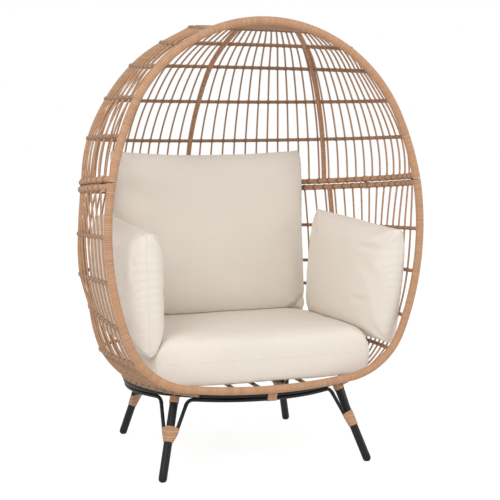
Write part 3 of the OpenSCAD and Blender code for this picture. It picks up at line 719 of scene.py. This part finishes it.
# ---- Shell ----

# Sides of a wound tube, and how deep a hoop's grooves are beside the rim's
RIM_SIDES, RIB_SIDES, HOOP_SIDES, HOOP_GROOVE = 20, 14, 12, 0.8
# Share of the wall strands' colour that the hoops, the knots and the seat bars have. It is painted shade: for
# the shade inside the shell, where strands cross the hoops, and under the seat cushion
HOOP_PAINTED_SHADE, KNOT_PAINTED_SHADE, BARS_PAINTED_SHADE = 0.78, 0.62, 0.4
# How far a knot stands proud of its tube, in millimetres
KNOT_PROUD = 0.5
# Distance each way, as a share of a half hoop or in millimetres, over which a hoop's direction is taken
SHARE_STEP, CROWN_STEP = 0.004, 2
# Share of a half hoop at which a bay's strands give the run of all of them
SAMPLE_SHARE = 0.45
# Width of one turn in a finish, in metres, and where the painted shade at the turn's edge starts
KNOT_TURNS, STRAND_TURNS, BINDING_TURNS = (0.0035, 0.5), (0.0055, 0.66), (0.0078, 0.45)


def scaled(values, share):
    return [value * share for value in values]


def wicker_materials():
    """The shell's two wound finishes, made once."""
    shell = bpy.context.scene.egg_shell
    names = ("wound wicker", "wound wall wicker")
    if names[0] not in bpy.data.materials:
        wicker_finish(names[0], shell.wicker, along_winding, shell.rim_strand)
        # The hoops' wicker is the wall wicker darkened: painted shade for the shade inside the shell
        hoops = scaled(shell.wall_wicker, HOOP_PAINTED_SHADE)
        wicker_finish(names[1], hoops, along_winding, shell.hoop_strand)
    return [bpy.data.materials[n] for n in names]


def wind_all(paths, radius, sides):
    """Winds tubes of one radius with the rim's strand."""
    shell, finish = bpy.context.scene.egg_shell, wicker_materials()[0]
    for name, path in paths.items():
        wound(name, path, radius, shell.rim_strand, shell.groove, sides, finish)


class EGG_OT_rims(bpy.types.Operator):
    """Wind the two halves of the front rim with flat strand"""

    bl_idname = "egg.rims"
    bl_label = "Wind rims"

    def execute(self, context):
        paths = {"upper_rim": upper_rim_path(), "lower_rim": lower_rim_path()}
        wind_all(paths, RIM_R, RIM_SIDES)
        return {"FINISHED"}


class EGG_OT_hoops(bpy.types.Operator):
    """Wind the hoops, and the two rails of the joint, with flat strand"""

    bl_idname = "egg.hoops"
    bl_label = "Wind hoops and rails"

    def execute(self, context):
        shell = context.scene.egg_shell
        groove = shell.groove * HOOP_GROOVE
        # dark is the hoops' finish, with painted shade; the rails take the rim's finish
        light, dark = wicker_materials()
        for name, hoop in HOOPS.items():
            if name.endswith("rail"):
                width, finish, slot = shell.rim_strand, light, "wicker"
            else:
                width, finish, slot = shell.hoop_strand, dark, "dark_wicker"
            wound(name, hoop.path(), hoop.radius, width, groove, HOOP_SIDES, finish)
        return {"FINISHED"}


class EGG_OT_ribs(bpy.types.Operator):
    """Wind the six upright ribs with flat strand"""

    bl_idname = "egg.ribs"
    bl_label = "Wind ribs"

    def execute(self, context):
        wind_all({name: rib_path(*rib) for name, rib in RIBS.items()}, RIB_R, RIB_SIDES)
        return {"FINISHED"}


def crossings(levels, offset, rib_share):
    """Where wall strands cross each hoop of a half: a place, the hoop's direction there and its radius."""
    found = {}
    for bay in range(len(levels) - 1):
        short = min(levels[bay].half_length, levels[bay + 1].half_length)
        for share in strand_shares(offset, rib_share, short):
            for level in (bay, bay + 1):
                found[level, share] = found[level, -share] = True
    rows = []
    for level, share in found:
        hoop = levels[level]
        lay = hoop.point(share + SHARE_STEP) - hoop.point(share - SHARE_STEP)
        rows.append((placed(hoop.point(share)), lay.normalized(), hoop.radius))
    return rows


def crown_crossings():
    """Where the crown's strands, which run from front to back, cross its hoop."""
    crown = HOOPS["crown_hoop"]
    reach = int((crown.w - RIM_R - STRAND_R) // CROWN_PITCH)
    rows = []
    for i in range(-reach, reach + 1):
        x = i * CROWN_PITCH
        lay = crown.back_at(x + CROWN_STEP) - crown.back_at(x - CROWN_STEP)
        rows.append((placed(crown.back_at(x)), lay.normalized(), HOOP_R))
    return rows


class EGG_OT_knots(bpy.types.Operator):
    """Tie every wall strand to the hoops that it crosses"""

    bl_idname = "egg.knots"
    bl_label = "Tie knots"

    def execute(self, context):
        shell = context.scene.egg_shell
        # The knots are the wall wicker darkened: painted shade where strand and hoop cross
        colour = scaled(shell.wall_wicker, KNOT_PAINTED_SHADE)
        finish = wicker_finish("knot wicker", colour, along_axis(2), *KNOT_TURNS)
        values = {"Width": shell.knot_width, "Finish": finish}
        tree = knot_tree()
        upper = crossings(UPPER, 0, UPPER_RIB) + crown_crossings()
        for half, ties in (("upper", upper), ("lower", crossings(LOWER, 0.5, LOWER_RIB))):
            mesh = bpy.data.meshes.new(half + "_crossings")
            mesh.from_pydata([place for place, _, _ in ties], [], [])
            mesh.attributes.new("lay", "FLOAT_VECTOR", "POINT")
            mesh.attributes.new("size", "FLOAT", "POINT")
            for k, (_, direction, radius) in enumerate(ties):
                mesh.attributes["lay"].data[k].vector = direction
                mesh.attributes["size"].data[k].value = (radius + KNOT_PROUD) * MM
            source = new_object(half + "_crossings", mesh)
            grown(source, tree, values, half + "_knots")
        return {"FINISHED"}


class EGG_OT_strands(bpy.types.Operator):
    """Finish the wall strands, the crown's strands and the seat bars"""

    bl_idname = "egg.strands"
    bl_label = "Finish strands"

    def execute(self, context):
        shell = context.scene.egg_shell
        for name, (low, high) in STRAND_BAYS.items():
            a, b = low.point(SAMPLE_SHARE), high.point(SAMPLE_SHARE)
            middle = (low.start.y + low.widest + high.start.y + high.widest) / 2
            centre = (0, (middle + SHELL_Y) * MM)
            outward = math.hypot(b.x, b.y - middle) - math.hypot(a.x, a.y - middle)
            along = along_run(*Vector((outward, b.z - a.z)).normalized(), centre)
            finish = wicker_finish(f"{name} wicker", shell.wall_wicker, along, *STRAND_TURNS)
            refinish(NODES[name], finish)
        # The seat bars are the wall wicker darkened: painted shade for the shadow under the seat cushion
        for name, share in (("crown_strands", 1), ("seat_bars", BARS_PAINTED_SHADE)):
            colour = scaled(shell.wall_wicker, share)
            finish = wicker_finish(f"{name} wicker", colour, along_axis(1), *STRAND_TURNS)
            refinish(NODES[name], finish)
        return {"FINISHED"}


class EGG_OT_bindings(bpy.types.Operator):
    """Finish the wicker bindings and collars of the base"""

    bl_idname = "egg.bindings"
    bl_label = "Finish bindings"

    def execute(self, context):
        wicker = context.scene.egg_shell.wicker
        upright = wicker_finish("bound wicker", wicker, along_axis(2), *BINDING_TURNS)
        across = wicker_finish("ring binding wicker", wicker, along_axis(0), *BINDING_TURNS)
        refinish(NODES["leg_bindings"], upright)
        refinish(NODES["leg_collars"], upright)
        refinish(NODES["ring_binding"], across)
        return {"FINISHED"}


# ---- Base ----


class EGG_OT_base(bpy.types.Operator):
    """Coat the ring, legs, braces, feet, bolts and washers"""

    bl_idname = "egg.base"
    bl_label = "Coat base"

    def execute(self, context):
        base = context.scene.egg_base
        coat = coat_finish("powder coat", base.coat, base.roughness, 700)
        caps = coat_finish("foot plastic", scaled(base.coat, 1.25), base.roughness + 0.16, 300)
        zinc = zinc_finish()
        for name, obj in NODES.items():
            if name == "base_ring" or name.endswith(("_leg", "_brace")):
                refinish(obj, coat)
            elif name.endswith("_foot") or name == "seam_washers":
                refinish(obj, caps)
            elif name == "seam_bolts":
                refinish(obj, zinc)
        return {"FINISHED"}


# ---- Cushions ----

# How far the flat part reaches, and how upright the edge is, at an end that is wholly slim
LENS = (2.6, 1.8)
# Share of its upper side's height that a wholly slim end loses
FLATTENED = 0.7
# Sets how much closer together a form's rows stand near its edge. At pi / 2 the last two would meet.
CROWDING = 1.35
# Room that a cushion leaves to a neighbour, how far off one is looked for, and rounds of pressing
CLEARANCE, LOOKED_FOR, PRESSES = 0.0015, 0.04, 3
FRAMES_TO_FILL = 20
# Rounds of evening that part the broad swell of the cloth, which is left out, from its folds
EVENINGS = 14
# Share of its radius by which a seam's cord is sunk in the cloth, and of the cloth's colour that it has
SEAM_SUNK, SEAM_SHADE = 0.65, 0.93
# Points along a seam, rounds of evening them, and how far outside the cloth each is looked for
SEAM_POINTS, SEAM_EVENINGS, SEAM_OUTSIDE = 360, 4, 0.01


def pose(centre, *turns, mirrored=False):
    """A cushion's place from its centre, in millimetres, and its turns, each in degrees and an axis."""
    place = Matrix.Identity(4)
    for angle, axis in turns:
        place = place @ Matrix.Rotation(math.radians(angle), 4, axis)
    place = Matrix.Translation(placed(centre)) @ place
    return Matrix.Diagonal((-1, 1, 1, 1)) @ place if mirrored else place


def alike(flat, edge):
    """One crown in all three directions."""
    return ((flat, edge),) * 3


class Cushion:
    """A cushion's form and place.

    rounds bends the plan's ends and draw draws its sides in. fullness holds, above the seam and then below
    it, how far the crown's flat part reaches and how upright its edge is: across, toward -Y and toward +Y.
    slim is how much of that the +X end loses. A crease has a start, an end, a depth and a width, all in
    millimetres, and the side that it is on. weave turns the cloth's threads into the cushion's plane.
    """

    def __init__(self, node, size, rounds, draw, fullness, place, weave, steps, slim=0, creases=(), fill=0.7):
        self.node, self.size, self.rounds, self.draw = node, scaled(size, MM), rounds, draw
        self.fullness, self.place, self.steps = fullness, place, steps
        self.weave = tuple(math.radians(angle) for angle in weave)
        self.slim, self.creases, self.fill = slim, creases, fill

    def plan(self, u, v):
        a, b = self.size[0] / 2, self.size[1] / 2
        end = 0 if v < 0 else 1
        x = a * u * math.sqrt(1 - self.rounds[end] * v * v / 2) * (1 - self.draw[0] * (1 - v * v))
        y = b * v * math.sqrt(1 - self.rounds[end] * u * u / 2) * (1 - self.draw[1 + end] * (1 - u * u))
        return x, y

    def lift(self, u, v, side):
        thinned = self.slim * (1 + u) / 2
        crown = 1
        across, front, rear = self.fullness[0 if side > 0 else 1]
        for share, (flat, edge) in ((u, across), (v, front if v < 0 else rear)):
            flat, edge = flat + thinned * (LENS[0] - flat), edge + thinned * (LENS[1] - edge)
            crown *= max(0, 1 - abs(share) ** flat) ** (1 / edge)
        pressed = 1 - FLATTENED * thinned**2 if side > 0 else 1
        return side * self.size[2] / 2 * crown * pressed

    def mesh(self):
        """The full form, closed along its seam. Its rows stand closer together near the edge."""
        steps = self.steps
        ticks = [math.sin(CROWDING * (2 * i / steps - 1)) / math.sin(CROWDING) for i in range(steps + 1)]
        build = bmesh.new()
        upper, lower = {}, {}
        for i, u in enumerate(ticks):
            for j, v in enumerate(ticks):
                x, y = self.plan(u, v)
                upper[i, j] = build.verts.new((x, y, self.lift(u, v, 1)))
                rim = i in (0, steps) or j in (0, steps)
                lower[i, j] = upper[i, j] if rim else build.verts.new((x, y, self.lift(u, v, -1)))
        for i in range(steps):
            for j in range(steps):
                quad = ((i, j), (i + 1, j), (i + 1, j + 1), (i, j + 1))
                build.faces.new([upper[q] for q in quad])
                build.faces.new([lower[q] for q in reversed(quad)])
        bmesh.ops.transform(build, matrix=self.place, verts=build.verts)
        if self.place.determinant() < 0:
            bmesh.ops.reverse_faces(build, faces=build.faces)
        mesh = bpy.data.meshes.new(self.node + "_form")
        build.to_mesh(mesh)
        build.free()
        return mesh

    def seam_points(self):
        """Points along the seam, once round."""
        points = []
        for k in range(SEAM_POINTS):
            t = 8 * k / SEAM_POINTS
            side, s = int(t // 2), t % 2 - 1
            u, v = ((s, -1), (1, s), (-s, 1), (-1, -s))[side]
            x, y = self.plan(u, v)
            points.append(self.place @ Vector((x, y, 0)))
        return points

    def slack(self, p):
        """How far the cloth stands off its filled form at a point: puckers, corner folds and soft dents."""
        a, b, t = scaled(self.size, 0.5)
        side = 1 if p.z > 0 else -1
        # Puckers beside the seam
        toward = min(a - abs(p.x), b - abs(p.y))
        along = p.x + p.y * 1.7 + side * 0.4
        pucker = math.sin(along * 2 * math.pi / 0.047 + 3 * noise.noise(p * 9))
        off = 0.0011 * pucker * math.exp(-((toward / 0.03) ** 2)) * (0.5 + noise.noise(p * 5))
        # Folds that fan out from each corner
        corner = Vector((abs(p.x) - a, abs(p.y) - b))
        reach = corner.length
        fan = math.atan2(corner.y, corner.x)
        fold = math.sin(fan * 9 + 4 * noise.noise(Vector((p.x * 3, p.y * 3, side))))
        off += 0.003 * fold * math.exp(-((reach / 0.13) ** 2)) * min(1, reach / 0.05)
        # Soft dents, broad and small
        off += 0.0045 * noise.noise(p * 4.5 + Vector((0, 0, side * 3)))
        off += 0.0014 * noise.noise(p * 13)
        for start, end, depth, width, face in self.creases:
            if p.z * face < 0:
                continue
            start, end, flat = Vector(start) * MM, Vector(end) * MM, Vector((p.x, p.y))
            line = end - start
            share = max(0, min(1, (flat - start).dot(line) / line.length_squared))
            away = (flat - start - share * line).length / (width * MM)
            taper = math.sin(math.pi * (share * 0.8 + 0.1))
            off -= depth * MM * taper * (math.exp(-(away**2)) - 0.45 * math.exp(-((away - 2) ** 2)))
        return off * (0.35 + 0.65 * min(1, abs(p.z) / (0.35 * t)))


SEAT = Cushion(
    "seat_cushion",
    size=(820, 690, 164),
    rounds=(0.3, 0.9),
    draw=(0.01, 0.01, 0.01),
    fullness=(alike(12, 3.4), ((10, 3.1), (30, 12), (14, 4.6))),
    place=pose((0, 7, 379.35)),
    weave=(0, 0, 0),
    steps=78,
    fill=0.85,
)
BACK = Cushion(
    "back_cushion",
    size=(742, 618, 184),
    rounds=(0.03, 0.02),
    draw=(0.015, -0.012, 0.06),
    fullness=(alike(6, 2.7), alike(5, 2.7)),
    place=pose((0, 280, 748.45), (85, "X")),
    weave=(-85, 0, 0),
    steps=72,
    creases=(
        ((-372, 160), (-240, 140), 9, 34, 1),
        ((285, -310), (368, -245), 6, 13, 1),
        ((-372, 60), (-250, 20), -4, 40, 1),
    ),
)
PILLOW = {"rounds": (0.1, 0.1), "draw": (0.02, 0.02, 0.03), "weave": (0, 90, 0), "steps": 60}
RIGHT_PILLOW = Cushion(
    "right_pillow",
    size=(532, 404, 150),
    fullness=(alike(3.4, 2.4), alike(4.6, 2.8)),
    place=pose((415, -86, 620), (90, "Z"), (90, "X"), (10, "Y"), (5, "Z"), (2, "X")),
    slim=0.9,
    creases=(
        ((-112, 118), (-238, 128), 5.5, 10, -1),
        ((-118, -70), (-190, -55), 4.5, 10, -1),
        ((-150, 60), (-235, 20), 3, 18, -1),
    ),
    **PILLOW,
)
LEFT_PILLOW = Cushion(
    "left_pillow",
    size=(538, 408, 150),
    fullness=(alike(3.4, 2.4), alike(5, 3.1)),
    place=pose(
        (419, -68, 620), (90, "Z"), (90, "X"), (-2.5, "Y"), (3.7, "Z"), (2.5, "X"), mirrored=True
    ),
    **PILLOW,
)


def swollen(mesh, cushion, settings):
    """Starts the cloth a little inside its form, fills it by pressure, and gives where its points end."""
    scene = bpy.context.scene
    starts = [v.co - v.normal * settings.inset for v in mesh.vertices]
    for v, start in zip(mesh.vertices, starts):
        v.co = start
    obj = new_object(cushion.node + "_cloth", mesh)
    cloth = obj.modifiers.new("filling", "CLOTH")
    how = cloth.settings
    how.quality, how.mass = 5, 0.3
    how.tension_stiffness = how.compression_stiffness = 10
    how.shear_stiffness, how.bending_stiffness = 5, 0.5
    how.use_pressure, how.uniform_pressure_force = True, settings.pressure
    how.effector_weights.gravity = 0
    cloth.point_cache.frame_start, cloth.point_cache.frame_end = 1, FRAMES_TO_FILL
    for step in range(1, FRAMES_TO_FILL + 1):
        scene.frame_set(step)
    filled = obj.evaluated_get(bpy.context.evaluated_depsgraph_get())
    moved = bpy.data.meshes.new_from_object(filled)
    shifts = np.array([v.co - start for v, start in zip(moved.vertices, starts)])
    reach = np.linalg.norm(shifts, axis=1, keepdims=True)
    shifts *= np.minimum(1, settings.swell / np.maximum(reach, 1e-9))
    bpy.data.meshes.remove(moved)
    bpy.data.objects.remove(obj)
    scene.frame_set(1)
    return np.array(starts) + shifts


def evened(shifts, mesh):
    """The same shifts, each brought closer to those of its neighbours on the mesh."""
    edges = np.array([e.vertices[:] for e in mesh.edges])
    count = np.bincount(edges.ravel(), minlength=len(shifts))[:, None]
    for _ in range(EVENINGS):
        total = np.zeros_like(shifts)
        np.add.at(total, edges[:, 0], shifts[edges[:, 1]])
        np.add.at(total, edges[:, 1], shifts[edges[:, 0]])
        shifts = (shifts + total / count) / 2
    return shifts


def surface_of(points, mesh):
    """A mesh's surface with its vertices at given points, to measure distances from."""
    return BVHTree.FromPolygons(points, [face.vertices for face in mesh.polygons])


def kept_clear(mesh, neighbours):
    """Presses the cloth back where it would reach into a neighbour."""
    surfaces = [
        surface_of([obj.matrix_world @ v.co for v in obj.data.vertices], obj.data) for obj in neighbours
    ]
    for _ in range(PRESSES):
        for v in mesh.vertices:
            for surface in surfaces:
                near, outward, _, _ = surface.find_nearest(v.co, LOOKED_FOR)
                if near is None:
                    continue
                depth = CLEARANCE - (v.co - near).dot(outward)
                if depth > 0 and (v.co - near).length < CLEARANCE + depth:
                    v.co += outward * depth


def smoothed(mesh, material):
    for face in mesh.polygons:
        face.use_smooth = True
    mesh.materials.clear()
    mesh.materials.append(material)


def sewn(cushion, settings, neighbours, rest_z=None):
    """Makes a cushion and its seam. It stays clear of its neighbours and lies flat at rest_z."""
    mesh = cushion.mesh()
    form = np.array([v.co for v in mesh.vertices])
    swell = swollen(mesh, cushion, settings) - form
    form = form + (swell - evened(swell, mesh))
    for v, place in zip(mesh.vertices, form):
        v.co = place
    obj = new_object(cushion.node + "_form", mesh)
    finer = obj.modifiers.new("finer", "SUBSURF")
    finer.levels = finer.render_levels = 1
    fine = evaluated_mesh(obj)
    bpy.data.objects.remove(obj)
    local = cushion.place.inverted()
    for v, normal in zip(fine.vertices, [v.normal.copy() for v in fine.vertices]):
        v.co += normal * cushion.slack(local @ v.co)
    kept_clear(fine, neighbours)
    if rest_z is not None:
        for v in fine.vertices:
            v.co.z = max(v.co.z, rest_z)
    finish = cloth_finish(cushion.node + " cloth", settings.cloth, cushion.weave, settings.thread)
    smoothed(fine, finish)
    piece = whole_piece(fine, cushion.node + "_cloth")
    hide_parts(cushion.node)
    seam_piece(cushion, fine, settings)


def seam_piece(cushion, mesh, settings):
    """A sewn seam: a slim cord of cloth that follows the cushion's edge."""
    surface = surface_of([v.co for v in mesh.vertices], mesh)
    points = []
    for p in cushion.seam_points():
        out = (p - cushion.place.translation).normalized()
        place, outward, _, _ = surface.find_nearest(p + out * SEAM_OUTSIDE)
        points.append(place - outward * settings.seam * SEAM_SUNK)
    for _ in range(SEAM_EVENINGS):
        following = points[1:] + points[:1]
        points = [(points[k - 1] + p * 2 + following[k]) / 4 for k, p in enumerate(points)]
    source = path_curve(points, cushion.node + "_seam_path")
    source.data.splines[0].use_cyclic_u = True
    source.data.bevel_depth, source.data.bevel_resolution = settings.seam, 1
    made = evaluated_mesh(source)
    bpy.data.objects.remove(source)
    name = cushion.node + " seam cloth"
    smoothed(made, cloth_finish(name, settings.cloth, cushion.weave, settings.thread, SEAM_SHADE))
    return whole_piece(made, cushion.node + "_seam")


def pieces_named(*names):
    return [bpy.data.objects[name] for name in names]


class EGG_OT_seat_cushion(bpy.types.Operator):
    """Fill and sew the seat cushion, which lies flat on the seat bars"""

    bl_idname = "egg.seat_cushion"
    bl_label = "Sew seat cushion"

    def execute(self, context):
        neighbours = [NODES["lower_strands_5"], NODES["lower_strands_4"]]
        neighbours += pieces_named("lower_rim_winding", "lower_hoop_4_winding")
        sewn(SEAT, context.scene.egg_cushions, neighbours, rest_z=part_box("seat_cushion")[0].z)
        return {"FINISHED"}


class EGG_OT_back_cushion(bpy.types.Operator):
    """Fill and sew the back cushion"""

    bl_idname = "egg.back_cushion"
    bl_label = "Sew back cushion"

    def execute(self, context):
        neighbours = pieces_named("seat_cushion_cloth", "lower_hoop_3_winding")
        sewn(BACK, context.scene.egg_cushions, neighbours)
        return {"FINISHED"}


class EGG_OT_pillows(bpy.types.Operator):
    """Fill and sew the two side pillows"""

    bl_idname = "egg.pillows"
    bl_label = "Sew side pillows"

    def execute(self, context):
        neighbours = pieces_named("seat_cushion_cloth", "back_cushion_cloth")
        neighbours += pieces_named("lower_hoop_2_winding", "lower_hoop_3_winding", "lower_rim_winding")
        neighbours += [NODES["lower_strands_4"], NODES["lower_strands_3"]]
        for pillow in (LEFT_PILLOW, RIGHT_PILLOW):
            sewn(pillow, context.scene.egg_cushions, neighbours)
        return {"FINISHED"}


# ---- Stage ----

CAMERA_AT = (-1.3907, -4.01025, 1.1089)
# Degrees that the camera looks down and turns to the right
CAMERA_DIP, CAMERA_TURN = 5.516, 20.322
WHITE = (1, 1, 1, 1)
FLOOR_HALF = 14
# How much of the floor's looks is its own glow, which keeps it white under a faint shadow
FLOOR_GLOW, FLOOR_GLOW_SHARE = 1.2, 0.72
LOOKED_AT = (0, 0, 0.8)


def area_light(name, place, size, watts):
    light = bpy.data.lights.new(name, "AREA")
    light.shape, light.size, light.energy = "DISK", size, watts
    lamp = new_object(name, light)
    lamp.location = place
    lamp.rotation_euler = (Vector(LOOKED_AT) - Vector(place)).to_track_quat("-Z", "Y").to_euler()


def two_faced(owner, lit, seen, share, output):
    """Gives a world or a material one shader for its light, and a share of another where it is seen."""
    owner.use_nodes = True
    owner.node_tree.nodes.clear()
    nodes = Nodes(owner.node_tree)
    rays = nodes.add("ShaderNodeLightPath").outputs
    mirrored = nodes.maths("MAXIMUM", rays["Is Glossy Ray"], rays["Is Transmission Ray"])
    factor = nodes.times(nodes.maths("MAXIMUM", rays["Is Camera Ray"], mirrored), share)
    both = nodes.out("ShaderNodeMixShader", {0: factor, 1: nodes.out(*lit), 2: nodes.out(*seen)})
    nodes.add(output, {0: both})


class EGG_OT_stage(bpy.types.Operator):
    """Set the camera, the white floor and background, and the soft lights"""

    bl_idname = "egg.stage"
    bl_label = "Set stage"

    def execute(self, context):
        stage, scene = context.scene.egg_stage, context.scene
        scene.view_settings.view_transform = "Standard"
        camera = new_object("camera", bpy.data.cameras.new("camera"))
        camera.data.lens, camera.data.sensor_width = stage.lens, 36
        camera.location = CAMERA_AT
        camera.rotation_euler = (math.radians(90 - CAMERA_DIP), 0, math.radians(-CAMERA_TURN))
        scene.camera = camera

        scene.world = bpy.data.worlds.new("white room")
        soft = ("ShaderNodeBackground", {"Color": (1, 0.985, 0.97, 1), "Strength": stage.ambient})
        white = ("ShaderNodeBackground", {"Color": WHITE, "Strength": 1})
        two_faced(scene.world, soft, white, 1, "ShaderNodeOutputWorld")

        build = bmesh.new()
        bmesh.ops.create_grid(build, x_segments=8, y_segments=8, size=FLOOR_HALF)
        floor = new_object("floor", bpy.data.meshes.new("floor"))
        build.to_mesh(floor.data)
        build.free()
        material = bpy.data.materials.new("white floor")
        matte = ("ShaderNodeBsdfDiffuse", {"Color": (0.82, 0.82, 0.82, 1)})
        glow = ("ShaderNodeEmission", {"Color": WHITE, "Strength": FLOOR_GLOW})
        two_faced(material, matte, glow, FLOOR_GLOW_SHARE, "ShaderNodeOutputMaterial")
        floor.data.materials.append(material)

        area_light("key light", (-2.6, -3.2, 3.4), 2.6, stage.key)
        area_light("fill light", (3.2, -2.4, 2.2), 2.4, stage.fill)
        return {"FINISHED"}


# ---- Panel and run ----

STEPS = (
    EGG_OT_rims,
    EGG_OT_hoops,
    EGG_OT_ribs,
    EGG_OT_knots,
    EGG_OT_strands,
    EGG_OT_bindings,
    EGG_OT_base,
    EGG_OT_seat_cushion,
    EGG_OT_back_cushion,
    EGG_OT_pillows,
    EGG_OT_stage,
)
GROUPS = {
    "egg_shell": EGG_PG_shell,
    "egg_base": EGG_PG_base,
    "egg_cushions": EGG_PG_cushions,
    "egg_stage": EGG_PG_stage,
}


class EGG_PT_chair(bpy.types.Panel):
    """Steps and settings of the egg chair"""

    bl_idname = "EGG_PT_chair"
    bl_label = "Egg chair"
    bl_space_type = "VIEW_3D"
    bl_region_type = "UI"
    bl_category = "Egg chair"

    def draw(self, context):
        for step in STEPS:
            self.layout.operator(step.bl_idname)
        for name, group in GROUPS.items():
            box = self.layout.box()
            for prop in group.__annotations__:
                box.prop(getattr(context.scene, name), prop)


def register():
    for made in (*GROUPS.values(), *STEPS, EGG_PT_chair):
        bpy.utils.register_class(made)
    for name, group in GROUPS.items():
        setattr(bpy.types.Scene, name, PointerProperty(type=group))


def unregister():
    for name in GROUPS:
        delattr(bpy.types.Scene, name)
    for made in reversed((*GROUPS.values(), *STEPS, EGG_PT_chair)):
        bpy.utils.unregister_class(made)


def main():
    register()
    for step in STEPS:
        group, name = step.bl_idname.split(".")
        getattr(getattr(bpy.ops, group), name)()


if __name__ == "__main__":
    main()
